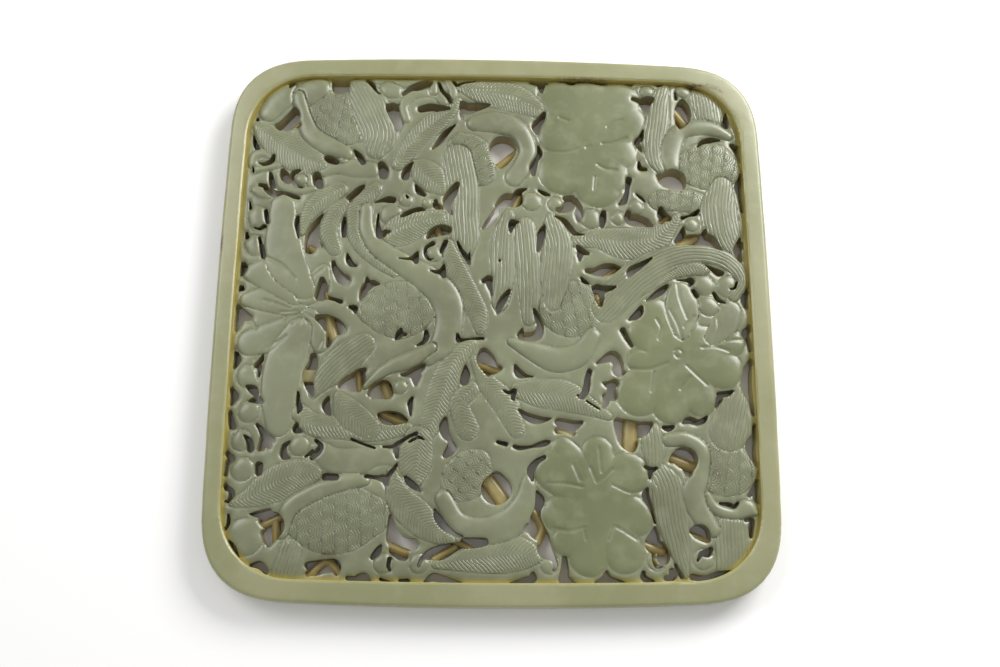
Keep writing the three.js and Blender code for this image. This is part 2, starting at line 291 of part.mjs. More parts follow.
// The distance to a set of rounds, on a grid: below zero inside any of them.
function distanceField(rounds, far) {
  const margin = far + FIELD_STEP;
  const low = { x: Infinity, y: Infinity };
  const high = { x: -Infinity, y: -Infinity };
  for (const q of rounds) {
    low.x = Math.min(low.x, q.x - q.r - margin);
    low.y = Math.min(low.y, q.y - q.r - margin);
    high.x = Math.max(high.x, q.x + q.r + margin);
    high.y = Math.max(high.y, q.y + q.r + margin);
  }
  const nx = Math.ceil((high.x - low.x) / FIELD_STEP) + 1;
  const ny = Math.ceil((high.y - low.y) / FIELD_STEP) + 1;
  const values = new Float64Array(nx * ny).fill(far);
  for (const q of rounds) {
    const reach = q.r + far;
    const i0 = Math.max(0, Math.floor((q.x - reach - low.x) / FIELD_STEP));
    const i1 = Math.min(nx - 1, Math.ceil((q.x + reach - low.x) / FIELD_STEP));
    const j0 = Math.max(0, Math.floor((q.y - reach - low.y) / FIELD_STEP));
    const j1 = Math.min(ny - 1, Math.ceil((q.y + reach - low.y) / FIELD_STEP));
    for (let j = j0; j <= j1; j += 1) {
      for (let i = i0; i <= i1; i += 1) {
        const d = Math.hypot(low.x + i * FIELD_STEP - q.x, low.y + j * FIELD_STEP - q.y) - q.r;
        values[j * nx + i] = Math.min(values[j * nx + i], d);
      }
    }
  }
  return { nx, ny, low, far, values };
}

// The closed outlines where a distance field crosses zero, inside on the left.
function outlines(field) {
  const { nx, ny, low, values } = field;
  const at = (i, j) => values[j * nx + i];
  const crossing = (i, j, k, l) => {
    const t = at(i, j) / (at(i, j) - at(k, l));
    return new THREE.Vector2(
      low.x + (i + t * (k - i)) * FIELD_STEP,
      low.y + (j + t * (l - j)) * FIELD_STEP,
    );
  };
  const next = new Map();
  const places = new Map();
  const link = (a, b) => {
    places.set(a.key, a.place);
    next.set(a.key, b.key);
  };
  for (let j = 0; j < ny - 1; j += 1) {
    for (let i = 0; i < nx - 1; i += 1) {
      const inside = [at(i, j) < 0, at(i + 1, j) < 0, at(i + 1, j + 1) < 0, at(i, j + 1) < 0];
      const total = inside.filter(Boolean).length;
      if (total === 0 || total === 4) continue;
      const sides = [
        { key: `h${i},${j}`, cross: () => crossing(i, j, i + 1, j) },
        { key: `v${i + 1},${j}`, cross: () => crossing(i + 1, j, i + 1, j + 1) },
        { key: `h${i},${j + 1}`, cross: () => crossing(i, j + 1, i + 1, j + 1) },
        { key: `v${i},${j}`, cross: () => crossing(i, j, i, j + 1) },
      ];
      const starts = [];
      const ends = [];
      for (let s = 0; s < 4; s += 1) {
        const a = inside[s];
        const b = inside[(s + 1) % 4];
        if (a === b) continue;
        const side = { key: sides[s].key, place: sides[s].cross(), s };
        if (a) starts.push(side);
        else ends.push(side);
      }
      for (const a of starts) {
        const b = ends.length === 1 ? ends[0] : ends.find((e) => (e.s + 1) % 4 === a.s);
        link(a, b);
      }
    }
  }
  const loops = [];
  while (next.size > 0) {
    const first = next.keys().next().value;
    const loop = [];
    let key = first;
    do {
      loop.push(places.get(key));
      const following = next.get(key);
      next.delete(key);
      key = following;
    } while (key !== first && next.has(key));
    if (loop.length > 3) loops.push(loop);
  }
  return loops;
}

// Drops the points of a loop that lie within a tolerance of the line through their neighbours.
function simplify(loop, tolerance) {
  const keep = new Set();
  const divide = (a, b) => {
    const p = loop[a % loop.length];
    const q = loop[b % loop.length];
    const along = new THREE.Vector2().subVectors(q, p);
    const length = Math.max(along.length(), 1e-9);
    let worst = tolerance;
    let pick = -1;
    for (let k = a + 1; k < b; k += 1) {
      const r = loop[k % loop.length];
      const off = Math.abs(along.x * (r.y - p.y) - along.y * (r.x - p.x)) / length;
      if (off > worst) {
        worst = off;
        pick = k;
      }
    }
    if (pick < 0) return;
    keep.add(pick % loop.length);
    divide(a, pick);
    divide(pick, b);
  };
  let far = 0;
  for (let k = 1; k < loop.length; k += 1) {
    if (loop[k].distanceTo(loop[0]) > loop[far].distanceTo(loop[0])) far = k;
  }
  keep.add(0);
  keep.add(far);
  divide(0, far);
  divide(far, loop.length);
  return [...keep].sort((a, b) => a - b).map((k) => loop[k]);
}

// A closed solid from a geometry whose shared corners are merged.
function solid(geometry) {
  geometry.deleteAttribute('normal');
  geometry.deleteAttribute('uv');
  const merged = mergeVertices(geometry, 1e-4);
  return new wasm.Manifold(new wasm.Mesh({
    numProp: 3,
    vertProperties: Float32Array.from(merged.attributes.position.array),
    triVerts: Uint32Array.from(merged.index.array),
  }));
}

// A straight-sided solid over a closed outline, from one height to another.
function prism(loop, bottom, top) {
  const geometry = new THREE.ExtrudeGeometry(new THREE.Shape(loop), {
    depth: top - bottom,
    bevelEnabled: false,
  });
  geometry.translate(0, 0, bottom);
  return solid(geometry);
}

// A low mound over a closed outline: its sides lean in towards the middle of the run of rounds.
function mound(loop, rounds, bottom, top) {
  const count = loop.length;
  const crown = loop.map((p) => {
    let nearest = rounds[0];
    let best = Infinity;
    for (const q of rounds) {
      const d = Math.hypot(p.x - q.x, p.y - q.y) - q.r;
      if (d < best) {
        best = d;
        nearest = q;
      }
    }
    return new THREE.Vector2(nearest.x, nearest.y).lerp(p, RELIEF_SHOULDER);
  });
  const positions = [];
  for (const p of loop) positions.push(p.x, p.y, bottom);
  for (const p of crown) positions.push(p.x, p.y, top);
  const index = [];
  for (const [a, b, c] of THREE.ShapeUtils.triangulateShape(loop, [])) index.push(a, c, b);
  for (const [a, b, c] of THREE.ShapeUtils.triangulateShape(loop, [])) {
    index.push(count + a, count + b, count + c);
  }
  for (let k = 0; k < count; k += 1) {
    const l = (k + 1) % count;
    index.push(k, l, count + l, k, count + l, count + k);
  }
  return new wasm.Manifold(new wasm.Mesh({
    numProp: 3,
    vertProperties: Float32Array.from(positions),
    triVerts: Uint32Array.from(index),
  }));
}

// A rectangle with soft square corners and sides that bow out a little.
function bowedRectangle(halfWidth, halfLength, corner, squareness, bow, centre) {
  const points = [];
  const quadrants = [[1, 1], [-1, 1], [-1, -1], [1, -1]];
  quadrants.forEach(([sx, sy], quadrant) => {
    const arc = [];
    for (let k = 0; k <= POINTS_PER_CORNER; k += 1) {
      const angle = (Math.PI / 2) * (k / POINTS_PER_CORNER);
      const x = halfWidth - corner + corner * Math.cos(angle) ** (2 / squareness);
      const y = halfLength - corner + corner * Math.sin(angle) ** (2 / squareness);
      arc.push([sx * x, sy * y]);
    }
    if (quadrant % 2 === 1) arc.reverse();
    points.push(...arc);
    const [x, y] = arc[arc.length - 1];
    for (let k = 1; k < POINTS_PER_SIDE; k += 1) {
      const t = 1 - (2 * k) / POINTS_PER_SIDE;
      points.push(quadrant % 2 === 0 ? [x * t, y] : [x, y * t]);
    }
  });
  return points.map(([x, y]) => new THREE.Vector2(
    x * (1 + bow[0] * (1 - (y / halfLength) ** 2)) + centre[0],
    y * (1 + bow[1] * (1 - (x / halfWidth) ** 2)) + centre[1],
  ));
}

// The frame: one section carried round between the outer and the inner outline.
function frameSolid(outer, inner) {
  const middle = EDGE_ROUNDING * 0.3;
  const section = [
    [0, BACK_CHAMFER, 0], [0, 0, BACK_CHAMFER], [0, 0, FRAME_TOP - EDGE_ROUNDING],
    [0, middle, FRAME_TOP - middle], [0, EDGE_ROUNDING, FRAME_TOP],
    [1, -FRAME_LIP, FRAME_TOP], [1, 0, FRAME_TOP - FRAME_LIP], [1, 0, 0],
  ];
  const positions = [];
  for (let k = 0; k < outer.length; k += 1) {
    const across = new THREE.Vector2().subVectors(inner[k], outer[k]).normalize();
    for (const [edge, inset, z] of section) {
      const p = (edge === 0 ? outer[k] : inner[k]).clone().addScaledVector(across, inset);
      positions.push(p.x, p.y, z);
    }
  }
  const index = [];
  const sides = section.length;
  for (let k = 0; k < outer.length; k += 1) {
    const l = (k + 1) % outer.length;
    for (let s = 0; s < sides; s += 1) {
      const t = (s + 1) % sides;
      index.push(k * sides + s, l * sides + s, l * sides + t);
      index.push(k * sides + s, l * sides + t, k * sides + t);
    }
  }
  return new wasm.Manifold(new wasm.Mesh({
    numProp: 3,
    vertProperties: Float32Array.from(positions),
    triVerts: Uint32Array.from(index),
  }));
}

const outer = bowedRectangle(
  FRAME_HALF_WIDTH,
  FRAME_HALF_LENGTH,
  FRAME_CORNER,
  FRAME_SQUARENESS,
  FRAME_BOW,
  FRAME_CENTRE,
);
const inner = bowedRectangle(
  WINDOW_HALF_WIDTH,
  WINDOW_HALF_LENGTH,
  WINDOW_CORNER,
  WINDOW_SQUARENESS,
  WINDOW_BOW,
  WINDOW_CENTRE,
);

// The web reaches halfway under the frame, and the carved masses stand on it.
const webOutline = outer.map((p, k) => p.clone().lerp(inner[k], 0.5));
let plaque = prism(webOutline, 0, WEB_TOP);
for (const numbers of RELIEF) {
  const rounds = smoothRun(numbers);
  for (const loop of outlines(distanceField(rounds, 2))) {
    const edge = simplify(loop, RELIEF_TOLERANCE);
    plaque = plaque.add(mound(edge, rounds, WEB_TOP - RELIEF_ROOT, RELIEF_TOP));
  }
}

// The openings go straight through; where two meet they become one.
const allRounds = OPENINGS.flatMap((numbers) => smoothRun(numbers));
const openings = distanceField(allRounds, 2);
openings.values.forEach((value, k) => {
  const x = openings.low.x + (k % openings.nx) * FIELD_STEP;
  const widening = THREE.MathUtils.clamp(Math.abs(x) - WALL_START, 0, WALL_WIDENING);
  if (value < openings.far) openings.values[k] = value - widening;
});
for (const loop of outlines(openings)) {
  const edge = simplify(loop, OPENING_TOLERANCE);
  if (edge.length < 3) continue;
  plaque = plaque.subtract(prism(edge, -PIERCE_CLEARANCE, FRAME_TOP + PIERCE_CLEARANCE));
}

for (const [list, top] of [[STEMS, STEM_TOP], [PADS, PAD_TOP]]) {
  for (const numbers of list) {
    const rounds = smoothRun(numbers);
    for (const loop of outlines(distanceField(rounds, 2))) {
      plaque = plaque.add(prism(simplify(loop, STEM_TOLERANCE), 0, top));
    }
  }
}
plaque = plaque.add(frameSolid(outer, inner));

const made = plaque.getMesh();
const geometry = new THREE.BufferGeometry();
geometry.setAttribute('position', new THREE.BufferAttribute(Float32Array.from(made.vertProperties), 3));
geometry.setIndex(new THREE.BufferAttribute(Uint32Array.from(made.triVerts), 1));
geometry.translate(-FRAME_CENTRE[0], -FRAME_CENTRE[1], 0);
geometry.computeVertexNormals();

const jade = new THREE.MeshStandardMaterial({ color: 0x939f84, roughness: 0.3, metalness: 0 });
const jadePlaque = new THREE.Mesh(geometry, jade);
jadePlaque.name = 'jade_plaque';

const part = new THREE.Group();
part.add(jadePlaque);
export default part;
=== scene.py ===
"""A pierced jade plaque: water birds, lotus leaves and plumes in openwork inside a plain frame."""
import math

import bpy
import numpy as np
from mathutils import Matrix, Vector


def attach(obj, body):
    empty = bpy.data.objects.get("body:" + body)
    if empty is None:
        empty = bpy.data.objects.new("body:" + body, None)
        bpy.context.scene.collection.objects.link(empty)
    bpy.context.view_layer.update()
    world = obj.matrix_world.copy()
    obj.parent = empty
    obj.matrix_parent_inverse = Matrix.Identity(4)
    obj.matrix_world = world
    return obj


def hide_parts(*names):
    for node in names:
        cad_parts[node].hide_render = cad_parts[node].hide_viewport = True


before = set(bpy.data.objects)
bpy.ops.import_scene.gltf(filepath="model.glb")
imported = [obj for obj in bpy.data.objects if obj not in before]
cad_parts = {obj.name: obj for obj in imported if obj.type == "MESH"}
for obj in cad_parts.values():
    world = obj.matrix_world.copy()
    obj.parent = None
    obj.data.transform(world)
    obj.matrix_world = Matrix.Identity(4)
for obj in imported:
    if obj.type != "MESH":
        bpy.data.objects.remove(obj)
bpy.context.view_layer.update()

MM = 0.001
GRID = 0.36
RUN_SPACING = 0.3
SMALLEST_ROUND = 0.15
GRID_HALF_WIDTH = 101
GRID_HALF_LENGTH = 104
WIDE_REACH = 4
SHORT_REACH = 2

# The frame, in millimetres.
FRAME_HALF_WIDTH = 97.47
FRAME_HALF_LENGTH = 98.19
FRAME_CORNER = 31.0
FRAME_CENTRE = (0.12, -1.05)
FRAME_SQUARENESS = 2.8
FRAME_BOW = (0.015, 0.03)
FRAME_TOP = 9.45
EDGE_ROUNDING = 1.3
LIP_CHAMFER = 0.55
RIM_FALL = 0.006
RIM_CREST_IN = 5
RIM_LOWEST = 6
WINDOW_HALF_WIDTH = 91.4
WINDOW_HALF_LENGTH = 91.7
WINDOW_CORNER = 25.5
WINDOW_CENTRE = (-0.2, -0.75)
WINDOW_SQUARENESS = 2.3
WINDOW_BOW = (0.011, 0.018)

# The openwork.
WEB_LOW = 7.0
WEB_SWELL = 0.35
WEB_SWELL_REACH = 1.5
WEB_RANGE = (4.9, 8.9)
EDGE_DROP = 0.32
EDGE_REACH = 0.4
WALL_START = 90.4
WALL_WIDENING = 0.8
WALL_DIP = 0.9
WALL_DIP_REACH = 1.6
# Width of the band along the window's edge where a glow of light through the stone is painted.
PAINTED_GLOW_BAND = 1.0
STAIN_REACH = 0.5
GROOVE_DEPTH = 0.24
GROOVE_REACH = 0.7
VEIN_DEPTH = 0.28
VEIN_WIDTH = 0.4
LEAF_EDGE = 6.9
LEAF_CROWN = 7.75
LEAF_ROLL = 1.6
STEM_TOP = 4.0
STEM_DROP = 1.1
STEM_ROUND = 1.5
PAD_TOP = 4.7
TRIANGLE_BUDGET = 192000
CREASE_ANGLE = math.radians(38)

# The pierced openings, seen from above: each is a run of rounds x, y, radius.
OPENINGS = [
    [-79, 89.8, 0.5, -76.8, 89.6, 1.2, -77.4, 87.6, 0.5], [-58.5, 92, 3.4, -58.5, 88.3, 3.4],
    [-48.3, 91.2, 0.9, -46.6, 89.5, 1, -45, 86.8, 0.5, -43.7, 85.6, 0.4],
    [-82, 72.2, 0.6, -78.8, 72, 2.6, -75.6, 75.6, 2.7, -75.3, 78.8, 0.9], [-76.5, 73, 1.8, -73.5, 72.2, 1.1],
    [-88.9, 75, 0.4, -88.9, 74.4, 0.7], [-89.9, 68, 0.3, -89.2, 65, 0.9, -88.2, 62.9, 1.1],
    [-81.9, 59.6, 0.8, -82.8, 57.6, 1.2, -85, 56.5, 0.9, -87.2, 56.9, 0.3],
    [-62.3, 59.2, 1.2, -60.5, 58.2, 1.6, -58.6, 57.4, 1.1],
    [-52.3, 62.5, 0.5, -50.3, 60, 1.3, -48.9, 57.5, 1.1],
    [-82.8, 53, 0.6, -82.3, 50.5, 1.1, -81.6, 47.6, 1.2],
    [-86.3, 48.2, 0.8, -84.2, 47.8, 0.9], [-78.3, 54, 1, -77.3, 51.5, 1.9, -76, 49.5, 1],
    [-72, 53.9, 0.6, -74.3, 53, 1, -74.7, 50.5, 0.9, -73, 48, 0.8, -70.8, 47.3, 0.5],
    [-65.7, 52, 1.7, -65.2, 49.8, 1.8, -64.4, 48.2, 1.4], [-89.3, 55, 0.4, -89, 53.3, 0.5],
    [-38.8, 79.8, 2.6, -37.3, 75.5, 2.1, -36.4, 73.5, 1.9, -36.8, 70.6, 0.6],
    [-40.9, 81.3, 0.5, -36.6, 81.3, 0.6],
    [-28, 79.8, 1.5, -24.5, 80.6, 1.7, -20.5, 80.2, 1.4, -17.6, 80, 0.8],
    [-34.6, 86, 0.9, -32, 88.2, 1.3, -28.5, 89.3, 2, -25.6, 90.8, 1.8],
    [-21.5, 90.8, 0.7, -20.2, 87.6, 0.8, -17.8, 84.9, 0.9, -16.9, 82.6, 0.7],
    [-16, 91.6, 0.7, -14.6, 90, 0.9, -12.5, 91, 0.7, -8, 92, 0.4],
    [-12.3, 82.2, 1.4, -10.8, 80.3, 2.6, -7.5, 81, 1.9, -4.2, 81.6, 1.1, -2.2, 81.9, 0.4],
    [-13, 78.5, 0.7, -12.4, 76, 0.6],
    [-15.2, 73.5, 0.4, -18.5, 70.3, 1.2, -20.8, 66.8, 1.2, -23.3, 63.7, 0.4],
    [2.8, 64.2, 5.2, 2.2, 60.5, 3.6, 2, 57.3, 1.3], [-42.2, 57, 1.4, -41.3, 55, 1.9, -41.2, 52.6, 1.7],
    [-30.7, 57.8, 0.6, -32.6, 55.3, 1.3, -33.2, 52.8, 1.7, -33.3, 51.8, 1],
    [-29.3, 48.9, 0.5, -27.9, 46.6, 1.3, -26, 45.2, 0.8],
    [-14, 49.4, 1, -15.6, 46.5, 1.9, -17.2, 43.5, 2.1, -17.4, 40.8, 1.4], [-17, 39.6, 1, -15.9, 37.6, 0.6],
    [13.5, 91.8, 0.8, 16.5, 91.3, 1.2, 19, 91.5, 1], [17.2, 90.5, 1.6, 17.3, 87.6, 0.7],
    [25, 93.3, 0.5, 28.5, 91.7, 0.9, 30.5, 92.8, 0.6], [37.5, 92.8, 0.9, 40, 92.3, 1.2, 42, 93, 0.5],
    [18.3, 78.8, 0.8, 17, 76.3, 1.5, 15.3, 73.6, 1.8, 15.6, 70.8, 0.8],
    [16, 65.3, 0.5, 16.6, 62.3, 1.1, 15.2, 59.8, 1, 14, 56.5, 1.5, 14.2, 53.8, 0.7],
    [11.5, 48.2, 0.4, 8.6, 46.8, 1.4, 7.6, 43.5, 2.6, 4.5, 43.8, 2.6, 2.2, 42.2, 1.9, 0.8, 41, 1],
    [16.2, 47.6, 0.6, 18.2, 46.4, 0.9, 20, 45.8, 0.5],
    [26, 44.6, 1.2, 28.3, 44.8, 1.2, 27.3, 42, 2.2, 25, 40.2, 1.4, 23, 40, 0.9],
    [29.6, 43.8, 1.2, 31, 41.3, 1.2, 30.9, 38.5, 1.6, 30.7, 35.8, 0.6],
    [8.6, 35, 0.5, 6.5, 34.6, 1.4, 5.9, 32.3, 1, 5.7, 30.8, 0.4],
    [18, 33.6, 0.6, 17.1, 31, 1.5, 16.6, 28, 1.3, 15.8, 24, 0.7],
    [22.3, 37.4, 0.6, 25.3, 35.9, 1, 27.5, 33, 1.2, 29.3, 30.9, 1, 32.6, 30.3, 0.3],
    [30, 26, 0.5, 31.5, 24.2, 1.4, 33.8, 23.3, 0.8], [31, 22.8, 1.2, 30.9, 20.6, 0.5],
    [33.6, 16.7, 1, 36.5, 16.4, 1.6, 39.8, 17, 2.5, 42.8, 17.7, 1.9, 45.6, 18, 0.4],
    [36, 10, 1.2, 38.5, 9.6, 1.7, 41.5, 9.9, 1.1, 43.6, 10.5, 0.5],
    [37.2, 9.5, 2.2, 37.8, 6, 1.7, 38, 3.4, 0.8], [31.4, 13.8, 0.6, 32.6, 12.4, 0.9, 34, 11.6, 0.4],
    [48.3, 14.3, 0.5, 49.5, 16.6, 1.6, 53, 18.9, 1.2, 57, 21.6, 0.5],
    [40, 39.3, 1, 39.6, 36.8, 1.4, 39.2, 34, 0.9],
    [49.6, 52.5, 1.3, 49, 49.5, 0.9, 48.5, 46.3, 0.9, 47.5, 43.8, 1.2, 46, 42.6, 0.6],
    [49, 39.6, 0.9, 49.3, 37, 1.9, 52, 36.3, 2.5, 55.3, 35.6, 1.8, 57.6, 34.2, 0.6],
    [49.5, 92.7, 0.6, 51.5, 92.2, 0.9, 53, 93, 0.5],
    [52, 85.3, 0.9, 54.5, 84.8, 1.3, 57.5, 84.7, 1.9, 59.4, 85.6, 0.8],
    [56.5, 83.5, 2.2, 56.7, 80.8, 1.3, 56.8, 79, 0.5], [60.8, 92.6, 0.5, 62.3, 91.8, 1.1, 64, 92.8, 0.5],
    [70.8, 84.6, 1.4, 70.8, 81.3, 3, 70.6, 78, 3.1, 69.8, 75, 1.8, 69.2, 73.3, 0.6],
    [68.2, 88.5, 0.4, 68.5, 86, 0.7],
    [74.3, 91, 0.7, 77.5, 89.9, 0.8, 81, 89.4, 0.7, 84.3, 88.3, 0.5, 86.6, 85.8, 0.4],
    [87.2, 80.5, 0.4, 87, 77.5, 1.2, 86.6, 75, 1.5], [75.8, 66, 0.4, 77.7, 68, 1.1, 81, 69, 1.2, 84, 69, 0.6],
    [88.7, 67, 0.9, 89.8, 66, 1.3, 91, 63, 0.9, 91.9, 61.4, 0.3],
    [55.4, 72.5, 0.4, 54.5, 69.4, 1.1, 52.9, 67.6, 1.1, 54, 65.3, 0.9, 54.6, 63.9, 0.4],
    [53.6, 59.6, 0.5, 54, 57.2, 1.1, 56, 56.7, 0.8],
    [60.7, 54.1, 0.9, 63.2, 52.7, 2.6, 66.3, 52.6, 4.2, 68.3, 50.7, 2.6],
    [91.5, 54.6, 0.4, 90.8, 52.5, 0.9, 89.9, 50, 1.1, 90.6, 46.5, 0.8, 91.2, 41, 0.3],
    [52.2, 46.8, 0.4, 54, 45.2, 0.7, 55.3, 43.8, 0.4], [61, 40.8, 1, 61.9, 38.2, 2, 63.7, 37.3, 1.4],
    [62, 37.5, 1.5, 61, 35.6, 0.9], [68.9, 37.6, 0.8, 71.3, 38.4, 0.5, 73.8, 39.3, 0.9, 75, 40.5, 0.6],
    [69.2, 33.8, 0.5, 68.7, 31.2, 1.4, 67.3, 28.3, 1.7],
    [67.3, 28.3, 1.7, 70.5, 28.9, 2.2, 74.5, 29.1, 2.3, 78.3, 28.9, 2.4, 81, 26.7, 1.3, 82.7, 25.3, 0.4],
    [76.8, 31.5, 1.2, 77.2, 33, 0.5], [89.9, 30, 0.4, 89.2, 27, 1.3, 88.6, 24.5, 1.7, 89.7, 21.3, 0.7],
    [76.8, 19.2, 0.4, 79.2, 17.8, 0.9, 81.5, 16.4, 1.4, 83, 16.5, 0.6],
    [66, 13.5, 0.3, 69, 13.4, 0.6, 71.2, 13.3, 1.3, 70.7, 11.6, 0.6], [71.8, 9.4, 0.9, 72.9, 7.7, 1.1],
    [79.3, 8.6, 0.8, 80.7, 6.3, 0.9, 83, 5, 0.5], [85.2, 10.2, 0.4, 86.8, 10.6, 0.5, 87.7, 12.8, 0.5],
    [91, 9.5, 0.4, 89.9, 6.7, 1.1, 90.4, 3.8, 0.7], [62.4, 11.3, 0.8, 60, 9.2, 1.4, 57, 7, 1, 55, 5.5, 0.5],
    [52.8, 3, 0.8, 51.9, 0.9, 1.5, 50, -0.7, 1.2, 48.3, -1.7, 0.4],
    [46, -5.6, 1.2, 47.2, -8.3, 1, 48.9, -11.3, 0.7],
    [91.3, -4, 0.6, 89.6, -6.2, 1.2, 90.5, -9, 0.8, 91.2, -12, 0.3],
    [91, -16.5, 0.6, 89.7, -19.3, 1.3, 89.2, -23, 1.6, 88.8, -26, 1.8, 90, -30.5, 0.9, 90.9, -35.3, 0.3],
    [79.5, -28.6, 1.1, 82, -28.4, 1.2, 84.3, -27.4, 0.5], [79.3, -30.4, 1.3, 78, -33, 0.5],
    [66.2, -39, 0.5, 68.5, -38, 1.4, 71.3, -38.8, 1.1, 73.5, -37.9, 1, 74.8, -36.6, 0.4],
    [59.5, -40.7, 0.9, 60.9, -41, 1.2, 62.7, -40.3, 0.7],
    [43.4, -38.8, 1.6, 45.5, -41.5, 3.3, 47, -45.3, 3.4, 48, -48, 1.6],
    [46, -40.5, 2.8, 50.5, -41.5, 3, 53, -40.5, 2, 55.2, -39.3, 0.7],
    [5.3, 8.6, 0.7, 3.4, 5.6, 1.4, 1.7, 2.4, 1.3, 1.3, 0.3, 0.7],
    [14.2, 1.6, 0.6, 15.3, -1, 1.2, 16.4, -4.5, 1.3,
     15.2, -7.7, 1.9, 12, -8.5, 1.8, 9.6, -8, 1.5, 10, -5.6, 0.5],
    [-3.6, -14.4, 1.9, -2.8, -17.3, 3.4, -0.8, -19.8, 2.6, 2.2, -20, 0.9], [-2.5, -20, 2, -2, -22.3, 1],
    [7.5, -19, 0.6, 8.9, -21.8, 1.6, 11.2, -22.6, 0.8, 13.7, -23, 0.3],
    [3.4, -28.1, 0.4, 5.3, -28.9, 0.8, 7.3, -28.1, 0.8, 6.7, -30.6, 0.8, 7, -31.6, 0.4],
    [8.9, -35, 0.6, 11.5, -37.1, 1.4, 14.3, -38.2, 1.7, 17.2, -38.3, 1.1, 20, -37.8, 0.3],
    [22.7, -39, 1.5, 25.5, -40.5, 2.6, 28, -40.2, 1.8, 30.8, -39, 0.6],
    [22.4, -42, 1.3, 25, -42, 1.2, 27.6, -43, 1],
    [33.8, -20.7, 1, 33, -23.5, 1.1, 32.5, -27, 1.3, 31, -30, 1.1, 29.4, -29.7, 0.5],
    [32.5, -31.6, 0.4, 34.5, -33, 0.4, 37, -34.5, 0.4],
    [36.5, -17.8, 0.5, 38.7, -16.6, 1.2, 42.2, -15.3, 2.2, 44, -18, 1.9, 44, -20.8, 1.9, 46.2, -21, 0.6],
    [38.6, -24.9, 0.4, 40.7, -25.6, 1.5, 42.5, -24.9, 1.6], [41.5, -26, 1.5, 41.3, -29, 1.7],
    [39.3, -29.7, 1.3, 41.8, -29.8, 1.7], [39.3, -29.7, 1.3, 39.4, -31.8, 1.1, 38.2, -33.8, 0.6],
    [1.8, 19.9, 0.5, 1.8, 19.6, 0.4], [0.5, 39.5, 1.2, -0.6, 36.8, 1.6, -2.3, 34.6, 1.4, -4.3, 32.4, 0.6],
    [-3.8, 12.3, 1, -1.9, 13.2, 1.3, -1.9, 11, 1.1, -1.1, 8, 0.5, -0.9, 6.8, 0.3],
    [-13.5, 26.8, 0.5, -12.2, 23.8, 0.8, -10.2, 20.8, 1.1, -9.2, 18.6, 0.6], [-9.1, 22.8, 0.3, -9.4, 20, 0.8],
    [-24.3, 28.7, 0.8, -22.6, 30.3, 1.7, -19.9, 31.3, 2.2, -17.3, 31.5, 1.7],
    [-17.8, 27, 1, -18.9, 24.3, 1, -19.4, 22.8, 0.5],
    [-22.5, 26.3, 1, -24.9, 24.6, 0.7, -25.1, 22, 0.6, -23.6, 20.1, 0.5, -22.3, 20.2, 0.3],
    [-28, 22.7, 0.6, -28.7, 20.7, 1.4, -28.3, 18.8, 0.9],
    [-28.7, 20.7, 1.4, -31.5, 20, 0.6, -34.5, 20.1, 0.3],
    [-18.3, 18, 0.5, -18.8, 15.5, 1.3, -18.3, 13.6, 0.9],
    [-18.8, 15.5, 1.3, -21.3, 15.3, 0.8, -23.1, 15.7, 0.3],
    [-42.6, 37.3, 0.4, -42.7, 34, 0.7, -42.3, 31, 1.1, -41.6, 28.8, 1.4, -39.8, 30.2, 1.1, -38.3, 30.4, 0.6],
    [-44, 41.9, 0.3, -41.5, 42.7, 0.8, -39, 43.2, 1.4, -37.4, 43, 1.3],
    [-34.1, 36.6, 0.7, -32.5, 37.6, 1.1, -29.6, 39, 1, -27.2, 39.6, 0.9, -25.5, 39.3, 0.3],
    [-21.8, 43, 0.7, -21.5, 40.9, 1.3, -19.3, 40.3, 0.8], [-32.6, 44.8, 0.4, -32.1, 43.9, 0.6],
    [-53.8, 43.6, 1.1, -51.9, 44.8, 1.5, -49.8, 47, 1.3, -48.3, 48.4, 0.6],
    [-53, 43.6, 1.2, -52.8, 42.2, 0.6],
    [-62.8, 36.9, 0.5, -64.8, 33.9, 1.2, -66.2, 30, 2.2, -66.3, 26.5, 2.6, -66.8, 23.5, 2],
    [-64.5, 25.3, 1.4, -62.8, 24.6, 0.7], [-54.8, 35.6, 0.7, -54.9, 32.5, 1.1, -54.8, 28.8, 0.9],
    [-53.3, 21.8, 0.4, -52.7, 19.6, 1.1, -51.6, 17.9, 1.1, -49.9, 17.4, 0.5],
    [-58.2, 18.6, 0.8, -57.4, 16.2, 1.2, -55.2, 12.9, 2, -53.8, 12, 2.2],
    [-61.8, 11.8, 1.1, -61.6, 8.8, 2.1, -62.2, 6, 2.2], [-61.5, 5.6, 1.2, -57.5, 4.7, 0.7, -54.9, 3.8, 0.9],
    [-51.5, 1.9, 0.7, -49.8, 1.4, 1.2, -49.5, -0.2, 0.5],
    [-41.5, 10.6, 0.5, -44.3, 10.6, 1.6, -46.4, 8.7, 1.7, -47.3, 6, 1.2, -47.8, 4.5, 0.5],
    [-45.8, 12.7, 0.6, -45.5, 11, 1.2], [-83.5, 38, 0.8, -83.2, 35.8, 0.8, -82.6, 33.5, 0.8],
    [-84, 46.6, 1, -81, 44.7, 1.5, -77.5, 45, 0.8, -74, 43.9, 0.9, -72, 43.3, 0.8],
    [-71.8, 35.7, 0.8, -72, 33, 1, -71.5, 30, 0.7, -71.1, 27.7, 0.4], [-89.6, 41.5, 0.3, -89.2, 38.8, 0.6],
    [-87.3, 31.3, 0.3, -85.4, 30.9, 0.6, -83.7, 32, 0.8], [-89.9, 29.5, 0.5, -89.6, 27.5, 0.8],
    [-85.2, 27.5, 0.6, -84.6, 25.5, 0.7, -83.9, 23, 1, -83.3, 20.5, 1.1],
    [-90, 18, 0.5, -89.6, 15.8, 1.1, -90.2, 13.3, 0.4], [-90.1, 9.3, 0.4, -90, 8, 0.8],
    [-90.8, 1.5, 0.6, -89.3, -1.3, 1.8, -87.2, -2.5, 1.5],
    [-89.3, -1.3, 1.8, -90, -3.2, 1.6, -90.8, -6.5, 0.7],
